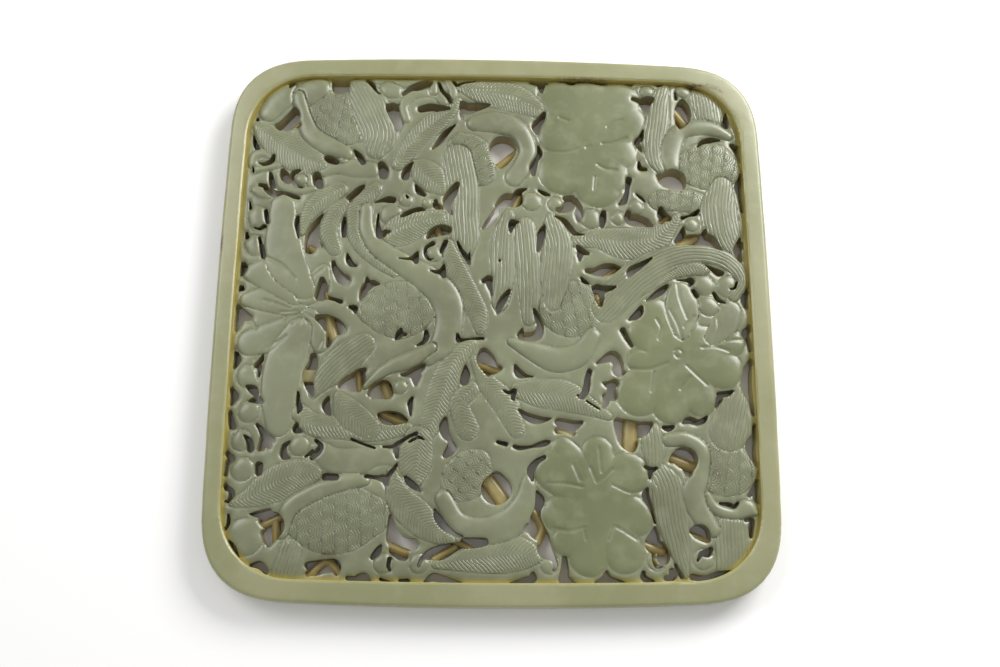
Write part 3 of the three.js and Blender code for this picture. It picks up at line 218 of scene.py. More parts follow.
    [-90.2, -15.5, 0.5, -89.7, -18, 1, -90.4, -20.5, 0.5],
    [-81.2, -16.3, 0.5, -82, -18.3, 1.1, -83.5, -20.1, 0.9], [-82.1, -20.5, 1, -82.2, -23.8, 0.5],
    [-86.2, -27.5, 0.5, -84, -28.6, 1.6, -82.9, -30, 1.2],
    [-80.2, -33.2, 0.4, -82.3, -32.3, 1.4, -85, -32.8, 0.5],
    [-91, -28.6, 0.4, -89.8, -31, 1.2, -90.6, -33.5, 0.5], [-91, -37, 0.4, -90.3, -40, 0.9, -89.7, -42, 1],
    [-81.8, -41, 0.6, -80.3, -42.6, 1, -78.8, -45, 1.4, -76.4, -46.3, 1.1],
    [-77.6, -46.5, 1.2, -77.3, -48.8, 0.7], [-85.7, -45, 0.5, -84, -46.9, 1.2, -83.5, -49.4, 1.4],
    [-80, -45.8, 0.7, -79.6, -48.4, 1.5, -80.7, -49.7, 0.7],
    [-63.6, -16.4, 1.3, -63.6, -19.3, 1.9, -64.9, -23, 2.2, -64.6, -26.5, 1.7, -63, -30.6, 0.8],
    [-62.4, -2.4, 1.4, -59.5, -3.6, 2.6, -56.8, -5.6, 3.3, -54, -6.4, 1.7],
    [-57.8, -8.8, 1.7, -58.7, -12.6, 0.7],
    [-68.2, -29.5, 0.5, -68, -33, 0.9, -67.3, -35.3, 1.1, -67.8, -36.8, 0.5],
    [-68.1, -40.6, 0.7, -68.3, -42.6, 1.3, -66.6, -43.2, 0.7],
    [-57.7, -31.2, 0.6, -58.4, -33.6, 1.5, -57.7, -35.8, 1.3, -56.8, -37.3, 0.5],
    [-53.8, -26.9, 1, -51.3, -26.3, 2.6, -48.3, -25.3, 3.2, -46.9, -22.5, 1.8, -45.3, -20.9, 0.7],
    [-49, -27.8, 1.4, -47.3, -28.2, 1],
    [-61.3, -46.3, 0.6, -59.4, -48.3, 1, -60.5, -50.5, 1.3, -62.3, -52.3, 1],
    [-49, -45.8, 0.5, -45, -47.4, 0.5, -41, -48.8, 0.5],
    [-38, -48.4, 0.4, -34.8, -48.2, 0.7, -33, -47.2, 0.9, -29.5, -44.9, 0.7, -26.7, -43.6, 0.7],
    [-33.6, -49, 1.1, -33.2, -52, 0.6], [-29, -46.6, 0.5, -26, -45, 0.7, -24, -45.8, 0.3],
    [-33, -6.3, 0.5, -33.7, -8.3, 1.4, -34.8, -9.8, 0.5], [-33.7, -8.3, 1, -31.4, -8.2, 0.7],
    [-24.2, -6.8, 0.7, -24, -8.8, 1.1, -24.9, -10.7, 0.9, -27.2, -12.1, 0.4],
    [-32.5, -22.8, 0.5, -29.3, -22.3, 1.4, -26.3, -20.6, 1.5, -24.7, -19.2, 0.7],
    [-27.5, -23, 1.9, -27.4, -26.3, 0.6],
    [-43.3, -29.8, 1, -40.9, -28.2, 2.6, -38, -26.7, 2, -36.7, -29.5, 1.6],
    [-42, -30.5, 1.2, -37, -30.5, 1.2],
    [-28.5, -31, 0.6, -29.2, -32.8, 1, -29, -35.2, 0.7, -28.9, -37.2, 0.4],
    [-39.5, -37.3, 1.1, -36.8, -38.2, 2.6, -33.5, -38.4, 2.3, -30.8, -39, 1.1],
    [-13, -8, 0.6, -12.7, -9.9, 1],
    [-12.7, -9.9, 1, -9.8, -9.7, 0.5, -6, -9.3, 0.6, -4, -9.2, 0.6],
    [-10, -19.5, 0.6, -10, -22.5, 1.6, -10.4, -25, 1.6],
    [-16.8, -38.4, 0.8, -17.3, -41, 1.7, -16.7, -43.5, 1.6,
     -14.9, -46.3, 0.9, -14.6, -48.8, 1.9, -16.4, -51, 1.2],
    [-43.5, -58.6, 0.8, -40, -59, 0.8, -37.2, -59.4, 1.5, -36.6, -61.2, 0.9],
    [-36, -58.5, 1, -34.3, -56.3, 0.8, -33.3, -54.6, 0.5],
    [-30.1, -58.7, 0.6, -28.8, -60.4, 1.2, -26.8, -62, 1.2, -25, -63.4, 0.5],
    [-34.8, -72, 0.6, -34.2, -76.5, 1.8, -33, -80, 2.8, -30.3, -81.3, 2.6, -27, -81.3, 2],
    [-33.5, -83.5, 1.6, -31, -84.5, 2.2, -29.8, -85.5, 1.5],
    [-34.6, -86.3, 0.8, -35, -88.5, 0.7, -34.5, -90, 0.5],
    [-23.6, -85.7, 0.7, -20.8, -84.6, 1.9, -17.3, -84, 2.6, -13.6, -82.5, 1.7, -10.8, -81.6, 1.2],
    [-24.9, -88.6, 0.6, -23.8, -86, 0.8], [-9.3, -80.9, 1.9, -5.5, -80.8, 1.8, -2.8, -80.5, 1.4],
    [-19.8, -69.8, 0.5, -18.6, -72.6, 1.4, -16.2, -75.7, 1.3, -12.8, -77.9, 0.8, -10.4, -78.6, 0.5],
    [-37.8, -82, 0.6, -38.9, -84, 1.3, -40.4, -85.8, 0.9],
    [-46.5, -93.2, 1, -43.3, -92.3, 1.5, -41.3, -93.3, 0.8], [-37.5, -93, 0.6, -34, -93.9, 0.3],
    [-31, -93.4, 0.6, -28.5, -93.5, 0.9],
    [-22.7, -93.7, 0.5, -20, -92.2, 1.4, -17, -92.8, 1.4, -13, -93.6, 0.8, -10.5, -94, 0.3],
    [1.1, -62.7, 5.3, 1.1, -58.8, 2.4], [1.5, -46.3, 0.7, 4.3, -47, 0.9],
    [7.3, -47.8, 0.8, 9.3, -48.3, 0.9, 13, -47.8, 0.6, 17.5, -46.6, 1.2, 19.3, -46, 0.6],
    [17.5, -51.5, 0.8, 14.8, -53.2, 1.1, 12.9, -56.1, 1.4, 13.4, -59.4, 0.7],
    [15, -63.3, 0.5, 16, -66.3, 1.7, 15.2, -69.3, 1.3, 14.5, -72.5, 1.9, 15, -76.5, 3],
    [15, -76.5, 3, 17.3, -79.3, 2.2, 17.8, -83, 2.7, 20.3, -85.6, 1.3, 21.3, -88, 0.9, 20.6, -89.6, 0.6],
    [10.5, -76.3, 0.5, 12.4, -75.7, 1.8], [13.5, -91, 0.9, 13.2, -92.6, 1.5, 9.5, -93.3, 0.9, 6, -94, 0.3],
    [24.2, -85.8, 1, 24.3, -89, 1.4, 24, -92.5, 2], [24, -92.5, 2, 26, -93, 0.9, 28, -94, 0.3],
    [38.4, -90.1, 0.6, 38.3, -92.5, 1.9],
    [35, -93.6, 0.8, 38.3, -92.8, 1.5, 42.3, -93.3, 0.9, 45.5, -94, 0.3],
    [52.4, -54.5, 0.6, 54.5, -55.5, 1, 56.4, -54.9, 0.5], [54.1, -56.5, 1, 53.9, -58.5, 0.4],
    [53, -62, 0.6, 52.3, -64.4, 1.4, 53.6, -67.6, 1, 54.6, -71, 0.6, 55.3, -73.8, 0.4],
    [55.2, -75.3, 0.6, 54.8, -78.3, 2, 54.3, -81, 2.8, 57, -82, 2, 59, -84.3, 1.3],
    [54.3, -84, 0.8, 54.3, -86.5, 0.6, 55.3, -88.3, 0.7, 57, -88.2, 0.5],
    [57.6, -83.5, 1.8, 57.6, -85.4, 2.4],
    [61.7, -87.6, 0.5, 62.6, -89.8, 0.9, 63.8, -91.7, 0.7],
    [60.5, -89.8, 1.2, 60.8, -91.5, 1.3, 58.5, -92, 1],
    [50.8, -90.3, 0.8, 51, -92, 1.2, 54, -93.3, 0.8],
    [61.3, -52.5, 0.7, 63.5, -51.3, 2.2, 66.5, -51.4, 4, 67.8, -53.5, 2.5], [67.3, -55, 2, 67.3, -56.8, 1.3],
    [68.3, -76.3, 1.5, 70.8, -76.8, 2.7, 72.8, -79, 1.4],
    [74, -82.3, 0.9, 72.6, -83.7, 1.5, 70.5, -84, 0.9, 69.2, -86.2, 0.5],
    [67.5, -91.6, 1.2, 71.5, -92, 1, 76, -90.9, 1.3, 81, -90.4, 1.2, 84.8, -89.2, 0.7],
    [78, -66.9, 0.6, 81, -67.3, 0.9, 82.5, -68, 0.8, 84, -66.6, 0.5],
    [86.3, -72.6, 0.6, 88.6, -72.4, 0.9, 88.2, -75, 1.1, 88, -78, 0.7],
    [91, -59.5, 0.6, 90, -62, 1.3, 88, -64.1, 0.7], [90, -62, 1.3, 90.5, -65.5, 1],
    [91.2, -40, 0.5, 90.7, -43, 0.7, 89.3, -46.5, 1.6, 89.5, -50, 1.2, 90.8, -53.5, 0.4],
    [-91, -51, 0.5, -89.3, -52.8, 1, -90.8, -55, 0.8, -91.3, -58, 0.3],
    [-80.2, -55.2, 1.5, -80.2, -57.5, 1.4],
    [-70.3, -46.9, 0.5, -72, -48.7, 1.1, -72, -51.7, 1.3, -70.2, -52.5, 0.6],
    [-62.3, -50, 0.6, -64.5, -52, 0.5], [-90.8, -62.2, 0.5, -88.8, -64.7, 1.2, -89.8, -67.5, 0.7],
    [-89.5, -72, 0.5, -89.3, -74.5, 0.8, -90.2, -77, 0.4],
    [-88.7, -81, 0.7, -87.2, -83, 1.2, -85.5, -85.7, 0.6], [-57.4, -58.9, 1.4, -53.9, -59, 1.3],
    [-82.3, -71.7, 0.3, -79.2, -71.7, 1.3, -76, -70.8, 1.2],
    [-77.8, -73.5, 1.6, -75, -74, 3.4, -73.3, -76, 3.2, -74.3, -79.3, 1.8, -75.4, -82, 0.8],
    [-77, -78, 1.4, -76, -80.5, 1.4],
    [-61.8, -88.5, 1.3, -59.5, -89.2, 2.3, -55.8, -88.8, 2.4, -53, -88.8, 2.2, -52.2, -91, 1],
    [-61.8, -91.3, 1, -58, -90.7, 1.1], [-81, -88.6, 0.6, -77.9, -88.6, 1.4, -75.6, -90.7, 1],
    [-48.5, -92.6, 0.8, -47, -93, 1],
]

# Plain stems left low between the openings.
STEMS = [
    [-78, 70, 0.9, -72, 76, 0.9], [8, 64, 1.5, 1, 58, 1.5], [48.5, -36.5, 2.5, 47.5, -50.5, 2.5],
    [-59.5, 0, 1.8, -57, -9, 1.8], [-48, -21, 1.2, -47, -28, 1.2], [-38.5, -26, 1.8, -36.5, -31, 1.8],
    [-39, -36, 1.3, -30, -40, 1.3], [-6, -18, 1.3, 3, -21, 1.3], [-2.5, -58, 2.5, 4, -67, 2.5],
    [-36, -81.5, 1.5, -27, -85, 1.5], [-20, -86, 1.2, -13, -82, 1.2], [-12, -80, 1.2, -7, -83, 1.2],
    [14, -70, 1.5, 17, -75, 1.5, 15.3, -80, 1.5], [-79, -75.5, 1.3, -72, -72, 1.3],
    [-74, -73, 1.3, -73.5, -81, 1.3], [-62, -92, 1.3, -56, -87, 1.3, -51, -92, 1.3],
    [62, -51, 1.8, 70, -54, 1.8], [67, -77, 1.3, 74, -80, 1.3], [52, -81, 1.5, 58, -83, 1.5],
    [74, 31.5, 1.8, 67, 27, 1.8], [60, 36, 1.2, 65, 39, 1.2], [68, 82, 1.5, 72, 77, 1.5],
    [-60.5, 8, 1, -59.5, 4, 1], [9, 46, 1.2, 7, 41, 1.2], [37, 8, 1.4, 38, 4, 1.4],
    [-21, 33, 1.2, -19.5, 29, 1.2], [40, 15, 1, 44, 18, 1], [23, -42, 1, 28, -43.5, 1],
    [-67, 25, 1.3, -64, 23, 1.3],
]
# Brown and dark stains: pits, nicks and old saw marks.
STAINS = [
    [-58.5, 95.4, 0.3, -56.5, 95.2, 0.2], [-79, 97, 0.1, -78, 97.4, 0.1], [-11, 98.6, 0.1, -9, 98.6, 0.1],
    [-98, 27, 0.4, -98.2, 23, 0.3], [72, 90.6, 0.1, 78, 90.3, 0.2], [80, 89.8, 0.2, 85, 88, 0.1],
    [24, 91.8, 0.1, 33, 92.1, 0.2, 42, 91.6, 0.1], [91.2, 52, 0.1, 91.2, 54, 0.1],
    [91.4, 10.7, 0.2, 91.4, 12, 0.1], [-91, -13, 0.1, -91, -15, 0.1], [76.5, -57, 0.4, 77.3, -57.4, 0.3],
    [-56.5, -85, 0.2, -53.5, -84, 0.3],
]
PAD = [-68, -23, 2.3, -61.5, -23, 2.3]

# How each kind of carved form is shaped: height at its edge, height of its crown, how round it is,
# the spacing of its incised lines, the way they run and how deep they are.
FORMS = {
    "plume": (7.1, 7.8, 2.2, 1.3, "along", 1.0),
    "feather": (7.1, 7.75, 2.2, 1.2, "barbs", 1.0),
    "leaf": (7.1, 7.7, 2.2, 1.3, "barbs", 0.8),
    "smooth": (7.0, 8.15, 2.0, 0.0, "none", 0.0),
    "petal": (7.1, 7.75, 2.4, 0.0, "none", 0.0),
    "body": (7.2, 8.0, 2.2, 0.8, "scales", 1.0),
    "curl": (6.9, 7.6, 2.0, 0.0, "none", 0.0),
    "knob": (6.8, 7.8, 2.0, 0.0, "none", 0.0),
}

# Lobed leaves, each a group of lobes that run into its middle.
LOBED_LEAVES = [
    [[24, 85, 8.5, 34, 76, 13], [35, 83, 10.5, 34, 74, 12], [46, 84, 8.5, 38, 75, 13],
     [49.5, 75.5, 7.5, 38, 70, 12], [46, 63, 7, 36, 66, 12], [41, 54, 8.5, 36, 62, 12],
     [38, 49.5, 8.5, 36, 60, 12], [25, 55, 9, 34, 64, 12], [24, 70, 8, 34, 70, 12]],
    [[57, 0, 6.5, 65, -12, 9], [53.5, -7, 6, 64, -14, 9], [52.5, -16.5, 5.6, 64, -15, 9],
     [51, -29, 8, 64, -18, 10], [62, -32.5, 7, 65, -18, 10], [72.5, -30.5, 6.2, 66, -18, 10],
     [81, -19.5, 7.2, 68, -15, 10], [84.5, -10, 5.2, 70, -12, 9], [67, 3, 6, 66, -8, 8]],
    [[22, -56, 8, 36, -66, 8], [23.5, -71, 6.6, 36, -68, 8], [25.5, -80, 5.6, 36, -70, 7],
     [32.5, -85.2, 6.8, 37, -70, 8], [44.5, -84.2, 6.8, 38, -70, 8], [48.3, -72, 6.6, 38, -68, 9],
     [46, -57, 7.5, 38, -64, 9], [36, -49.5, 5.6, 37, -62, 7], [24, -48.5, 4.2, 32, -58, 6]],
]

# Fine incised lines across the leaves and petals.
VEINS = [
    [47.5, 76.3, 0.2, 45, 75.6, 0.25, 42, 73.4, 0.2], [21, 63, 0.1, 27, 63, 0.2, 31, 64.5, 0.1],
    [49, 69, 0.1, 44, 67, 0.2, 40, 66.5, 0.1], [38, 58, 0.1, 41, 56.3, 0.2, 45, 56, 0.1],
    [34, 64.8, 0.2, 35.3, 65.6, 0.2], [24, 77, 0.1, 27.5, 75.5, 0.2], [37, 53, 0.1, 36.5, 48, 0.1],
    [63, 2, 0.2, 65.5, -3.5, 0.25, 67, -9, 0.2], [71.5, -0.3, 0.2, 67.8, -4.3, 0.2],
    [80, -1, 0.1, 80, -5, 0.2, 78, -10.5, 0.2], [74, -11.8, 0.2, 79, -11.6, 0.2, 83.5, -13, 0.2],
    [48, -19.6, 0.2, 54.5, -20, 0.25, 61.3, -17.6, 0.2], [68.2, -18.5, 0.2, 71, -21.3, 0.25, 75, -25.2, 0.2],
    [65.7, -27, 0.2, 69.2, -22.7, 0.25], [56.5, -21, 0.1, 55.3, -28, 0.1],
    [48.5, -14.3, 0.2, 50.7, -12.9, 0.25, 53.7, -13.3, 0.1], [58, -1.5, 0.1, 59.5, -5, 0.1, 58.5, -9, 0.1],
    [64.2, -13.2, 0.1, 65.5, -12.6, 0.1, 66.8, -13.6, 0.1, 66.5, -15.3, 0.1,
     65, -15.6, 0.1, 64.1, -14.4, 0.1],
    [66, 11.5, 0.2, 66.8, 6, 0.3, 69, -1, 0.2], [83, -9, 0.2, 88.5, -8.8, 0.2],
    [30.5, -61.7, 0.2, 25, -60.6, 0.25, 19, -60.5, 0.1], [31, -75.4, 0.1, 26, -76.6, 0.25, 20.5, -75.6, 0.2],
    [39.3, -79.5, 0.2, 40.8, -75, 0.2], [41.6, -75, 0.2, 44.5, -76.6, 0.2, 48.5, -79.2, 0.2],
    [36.5, -59.6, 0.3, 38.5, -57.8, 0.35, 41, -55.5, 0.2], [33.5, -55, 0.2, 35.5, -60, 0.3],
    [41, -61, 0.1, 47, -63.5, 0.2, 52, -62.5, 0.1], [31, -76.5, 0.1, 31.5, -79.5, 0.1],
    [27.5, -54, 0.2, 29.8, -59.5, 0.2], [36.5, -48, 0.2, 37.3, -56.5, 0.2],
    [-81.5, 19.6, 0.3, -76.5, 17, 0.4, -71.5, 12, 0.2], [-82, 3.9, 0.1, -79.5, 3, 0.3],
    [-78, 2.8, 0.1, -72.5, 0.8, 0.2], [-76, -0.5, 0.1, -70, -0.2, 0.2], [-74, -3.6, 0.1, -69.6, -1, 0.2],
    [-71.5, -4.6, 0.1, -69, -1.6, 0.2], [-68.8, -4.6, 0.1, -68.5, -1.8, 0.2],
    [-66, -4.6, 0.1, -67.6, -1.8, 0.2],
    [-64, -2.8, 0.1, -67, -0.8, 0.2], [-86, -4, 0.2, -84, -6.8, 0.2],
    [-82, -15.8, 0.3, -79.5, -13.3, 0.35, -74.5, -10.6, 0.2], [-80.5, -15.6, 0.2, -73.5, -9.4, 0.15],
    [-84, -18, 0.2, -81.7, -15.5, 0.2], [-62.6, -15, 0.2, -60.8, -11, 0.2],
    [-65.5, 12.5, 0.2, -61.6, 15.8, 0.2],
]

# The carved forms, from the lowest to the topmost, each a run of rounds x, y, half width.
CARVING = [
    # small curls along the frame and in the corners
    ("curl", [-83, 60, 1.5, -86, 60.8, 1.8, -89, 59.5, 2, -89.5, 56.5, 1.8, -88, 54.3, 1.5]),
    ("curl", [-88.5, 54, 1.5, -85, 54.6, 1.2, -81, 56, 1.6, -78, 58.5, 2]),
    ("curl", [-79.5, 52, 1.2, -78.5, 48, 1.5, -75, 46, 1.5, -70, 46, 1.5, -66.5, 47, 1.2]),
    ("curl", [-71.8, 53.5, 1.2, -68.5, 52, 1.3, -67.8, 48.5, 1.3]),
    ("knob", [-71.5, 50.5, 2.1, -71, 50.3, 2.1]),
    ("curl", [-88, 46, 1.6, -84.5, 44.5, 2.2, -81.5, 45.5, 1.6]),
    ("knob", [-86.5, 36, 3.6, -86, 33.5, 3.4]),
    ("knob", [-87, 25, 3.6, -86.5, 23.5, 3.2]),
    ("knob", [-86.5, -23.5, 3.6, -86.2, -24.5, 3.6]),
    ("knob", [-85, -37, 3.6, -84.6, -36, 3.4]),
    ("knob", [-87, -47, 3.4, -86.6, -46, 3.2]),
    ("knob", [-86, -57, 3.8, -85.5, -56, 3.6]),
    ("knob", [-67, -48.5, 3.4, -66.6, -48, 3.2]),
    ("knob", [-83.5, -79.5, 6.4, -83.2, -79.2, 6.2]),
    ("curl", [-45, 92, 2, -41, 91, 2, -36, 90.5, 2.2, -31, 91, 2, -27, 92.5, 1.6]),
    ("knob", [-40.5, 87.5, 3.6, -38, 86.8, 3]),
    ("curl", [-33.5, 75.5, 1.8, -34.8, 80.5, 2, -32, 85, 2.2, -27, 86.5, 2, -22.5, 86, 2, -19.5, 82.5, 1.8]),
    ("curl", [-23, 92, 1.3, -23.6, 87, 1.8]),
    ("curl", [-18, 92, 1.8, -16.2, 88, 2, -16.6, 85, 1.4]),
    ("curl", [53.5, 92, 2, 57.5, 92.8, 2, 60.8, 90, 1.8, 60, 86.5, 1.6]),
    ("knob", [57.3, 88.5, 2.8, 57.5, 88.3, 2.8]),
    ("knob", [71, 89.2, 2.8, 71.3, 89, 2.8]),
    ("knob", [51.8, 41.5, 2.8, 52, 41.3, 2.8]),
    ("knob", [35, 36.6, 3.8, 35.4, 36.4, 3.8]),
    ("knob", [13.3, 43, 3.6, 13.6, 42.8, 3.6]),
    ("knob", [22, 42, 2.8, 22.4, 41.8, 2.8]),
    ("knob", [45, 37, 2.6, 45.2, 36.8, 2.6]),
    ("knob", [72, 34.8, 2.5, 72.3, 34.6, 2.5]),
    ("knob", [75.5, 11.6, 3.8, 75.8, 11.4, 3.8]),
    ("knob", [84.5, 11, 4.2, 84.8, 10.8, 4.2]),
    ("knob", [55.4, -86.4, 3.4, 55.7, -86.2, 3.4]),
    ("knob", [71, -86, 3.4, 71.3, -85.8, 3.4]),
    ("knob", [19, -88, 3.2, 19.3, -87.8, 3.2]),
    ("knob", [-25, -88, 3.2, -24.7, -87.8, 3.2]),
    ("knob", [-37, -88, 3.2, -36.7, -87.8, 3.2]),
    ("knob", [-33, -27.5, 2.5, -32.7, -27.3, 2.5]),
    ("knob", [-22, 22, 2.8, -21.7, 21.8, 2.8]),
    ("knob", [-25, 42, 2, -24.8, 41.8, 2]),
    ("knob", [-33, 43, 2.6, -32.7, 42.8, 2.6]),
    ("knob", [-38, 37, 4.2, -37.7, 36.8, 4.2]),
    # scrolling clouds
    ("curl", [-63.5, 54.5, 3, -58, 56, 3.4, -52, 55, 3.6, -46, 54.5, 3.2]),
    ("knob", [-56.5, 58.8, 2, -56.3, 58.7, 2]),
    ("curl", [-60, -50, 3.4, -54, -53.5, 4.6, -47, -53.5, 4.6, -40, -51.5, 3.6, -35, -52.5, 2.4]),
    # the flower at the left
    ("petal", [-88, 4, 2.6, -80, 4, 4.6, -70, 1, 3.5]),
    ("petal", [-87, 14, 3.2, -80, 13, 6, -71, 7, 5]),
    ("petal", [-86, -12, 4.6, -80, -10, 5, -71, -5, 3.6]),
    ("petal", [-61.5, 15, 2.6, -63.5, 11, 4, -67, 6, 4]),
    ("petal", [-61.5, -13, 2.4, -62.5, -8, 4, -66, -3, 4]),
    ("petal", [-77.5, 40, 4.4, -77, 30, 5.8, -75, 18, 7, -68, 8, 4]),
    ("petal", [-74.5, -41, 4.2, -74.5, -30, 6.6, -73, -18, 7, -69, -7, 4.6]),
    # petals over the round leaf
    ("petal", [84.5, 1.5, 4.4, 82, -4, 4.6, 78, -8, 3]),
    ("petal", [67, 8, 4.6, 67.5, 2, 6, 67, -6, 3]),
    # pods and buds
    ("plume", [64, 91, 2, 62, 84, 3.5, 61, 77, 4.5, 59.5, 68, 4.5, 60, 60, 3, 61.5, 56.5, 1.5]),
    ("plume", [57, -55, 2, 60, -62, 5.5, 61, -72, 5.5, 63, -82, 3.5, 65, -91, 1.2]),
    ("plume", [55, -42, 3, 55.5, -48, 4.2, 55.5, -53, 2.5]),
    ("smooth", [-84.5, 77.5, 4, -80.5, 84, 5.2, -79, 87, 4.2]),
    # leaves and feathers
    ("leaf", [-36, 57, 2.5, -31, 65, 4, -25, 72, 4.5, -19, 77, 3, -14, 83, 1.6]),
    ("leaf", [-30, 58, 1, -25, 53, 5.5, -20, 48, 3]),
    ("leaf", [-13, 89, 2, -4, 87, 5, 6, 85, 6, 15, 80.5, 3.5]),
    ("leaf", [-19, -88, 1.5, -8, -86.5, 4, 3, -84.5, 6.5, 10, -84.5, 5, 15, -86, 1.5]),
    ("leaf", [-41, 26, 1.5, -34, 31, 6, -27, 34, 4.5, -20, 35, 3.5, -16, 32, 1]),
    ("leaf", [30, 28, 2.5, 38, 29, 4, 48, 27, 6, 58, 29, 5, 64, 34, 3, 67.5, 38, 1.2]),
    ("leaf", [-67, -37, 3, -62, -41, 4, -52, -42, 4, -40, -43, 3.5, -30, -42, 2]),
    ("leaf", [-54, -31, 2, -50, -37, 5, -43, -42, 4]),
    ("leaf", [-8, -11, 2, -14, -18, 4, -18, -28, 5, -21, -38, 4, -24, -46, 2.5]),
    ("leaf", [-8, -28, 3, -12, -33, 3.5, -9, -42, 4]),
    ("leaf", [-7, -17, 1.5, -2, -26, 3.5, 4, -33, 4.5, 8, -42, 3]),
    ("leaf", [9, -28, 3, 16, -29, 5, 25, -30, 5.5, 34, -34, 3, 40, -37, 1.5]),
    ("leaf", [-26, -46, 5, -27, -53, 6, -26, -60, 2]),
    ("leaf", [-35, -57, 1.5, -32, -66, 4.5, -26, -72, 5.5, -20, -77, 4, -14, -80, 1.5]),
    # birds' bodies
    ("body", [-66, 77, 7, -57, 75, 10.5, -50, 74, 7]),
    ("body", [-13, 65, 5, -9, 60, 8.5, -5, 54, 5]),
    ("body", [72, 58, 6, 80, 58, 9.5, 88, 56, 4]),
    ("body", [60, 44, 3.5, 68, 44.5, 4.5, 76, 43, 4]),
    ("body", [20, 2, 4, 28, 2, 10.5, 35, 5, 4]),
    ("body", [-43, 1, 6, -34, 1, 10.5, -27, 2, 7]),
    ("body", [-66, -73, 6, -54, -73, 12, -42, -72, 7]),
    ("body", [-13, -62, 5, -9, -58, 8, -5, -53, 4]),
    ("body", [73, -52, 4, 80, -55, 9.5, 88, -55, 4]),
    # tails and wings
    ("feather", [-89, 71.5, 1.5, -84, 67.5, 4.5, -77, 62.5, 6.5, -70, 58.5, 6, -64.5, 56.5, 2.5]),
    ("feather", [-88, -68, 1.5, -82, -66, 3.5, -75, -62, 6, -67, -58.5, 5.5, -61, -58, 2.5]),
    ("plume", [-51, 88, 4.5, -47, 80, 7, -43, 70, 7, -44, 63, 4]),
    ("plume", [-14, 60, 5.5, -12, 48, 6, -12, 38, 6, -11, 28, 5, -12, 20, 2]),
    ("plume", [80, 88, 5.5, 80.5, 82, 5.5, 81, 76, 4]),
    ("plume", [84, 50, 4, 82.5, 40, 7, 84, 30, 6, 87, 24, 2]),
    ("plume", [86, -27, 1.5, 84, -34, 5, 82, -42, 7]),
    ("plume", [81, -89, 5.5, 81, -82, 5.5, 81, -75, 4.5]),
    ("plume", [-68, -84, 4, -70, -91, 4]),
    ("plume", [2, 4, 3, 3, 14, 4, 3, 27, 4.6, 5, 38, 2]),
    ("plume", [12.5, -2, 2.5, 12.5, 10, 4, 12, 22, 4.6, 11, 33, 3.6]),
    ("plume", [21, 4, 3, 22, 15, 5.5, 23, 26, 5.5, 21, 35, 3, 20.5, 37.5, 1]),
    ("feather", [-17, 26, 2, -14, 16, 4, -10, 8, 4, -6, 0, 3.5, -5, -6, 2]),
    ("plume", [-63, -30, 1.5, -58, -23, 4.5, -52, -17, 5.5, -46, -12, 4]),
    ("feather", [50, 10, 4, 62, 17, 4, 70, 18, 3, 76, 17.5, 2]),
    ("plume", [40, 2, 5, 50, 13, 6.5, 60, 20, 5, 70, 23.5, 3.8, 80, 23, 3.4, 87, 19, 3, 90, 13, 2.5,
               86.5, 7.5, 2]),
    ("feather", [-57, 46.5, 3, -64, 42, 3.8, -68.5, 36, 2.6, -70, 30, 1.5]),
    ("feather", [-54, 42, 2, -58.5, 36.5, 3, -60.5, 30, 3.4, -58, 23.5, 2.6]),
    ("feather", [-44, 47, 2.5, -49.5, 41, 3.6, -51, 33, 3.4, -48.5, 26, 3.4, -42, 19.5, 3, -36, 14.5, 1.6]),
    # necks and crests
    ("smooth", [-71, 85, 5.2, -67, 88, 4.6]),
    ("smooth", [-74, 84, 2.5, -71.5, 75, 3, -68, 68, 3.5, -61, 63.5, 3.5, -55, 61, 2.5]),
    ("smooth", [-8, 74, 3, 0, 74.5, 4.2, 8, 72, 3.8, 12, 64, 3.4, 10, 57, 3.6, 7, 52.5, 3.6]),
    ("smooth", [66, 56, 2.5, 65.5, 64, 4, 69, 71.5, 3.4, 76, 74, 3.2, 83, 73, 2.6, 87.5, 70.5, 1.8]),
    ("smooth", [-47, 39, 2.5, -46.5, 31, 3, -42, 24, 3.5, -34, 18.5, 4, -25, 13, 5, -18, 6, 5.5, -16, -2, 5,
                -18, -11, 4.5, -23, -17, 2.5]),
    ("smooth", [6, -10.5, 1.5, 14, -14, 3.5, 22, -17, 4.5, 30, -15, 4, 35, -8, 3]),
    ("smooth", [-45, -27, 1.2, -38, -21, 2.2, -30, -17.6, 3, -22, -13, 2]),
    ("smooth", [-17, -66, 3, -12, -74, 3.5, -3, -77, 4.5, 6, -74, 5, 11, -67, 4, 12, -60, 2.5]),
    ("smooth", [-71, -78, 2, -69, -70, 3, -62, -65, 3, -52, -61, 3, -44, -60, 2]),
    ("smooth", [61, -45, 2.5, 67, -45, 2.6, 72, -49, 3, 71, -57, 3.4, 69, -63, 4, 71, -70, 4, 75, -76, 2.5]),
    ("smooth", [73.5, -64, 1.2, 76, -68.5, 2, 82, -70.5, 2, 87, -68.5, 3, 90, -70, 1]),
    ("knob", [77, 3.5, 3.6, 77.2, 3.4, 3.6]),
]


def smooth_run(numbers):
    """Evenly spaced rounds x, y, radius along a smooth run through the given ones."""
    given = np.asarray(numbers, float).reshape(-1, 3)
    ends = [2 * given[0] - given[1], *given, 2 * given[-1] - given[-2]]
    rounds = [given[0]]
    for a, b, c, d in zip(ends, ends[1:], ends[2:], ends[3:]):
        count = max(2, math.ceil(np.hypot(*(c - b)[:2]) / RUN_SPACING))
        for k in range(1, count + 1):
            t = k / count
            rounds.append(0.5 * (2 * b + (c - a) * t + (2 * a - 5 * b + 4 * c - d) * t**2
                                 + (3 * b - a - 3 * c + d) * t**3))
    rounds = np.array(rounds)
    rounds[:, 2] = np.maximum(rounds[:, 2], SMALLEST_ROUND)
    return rounds


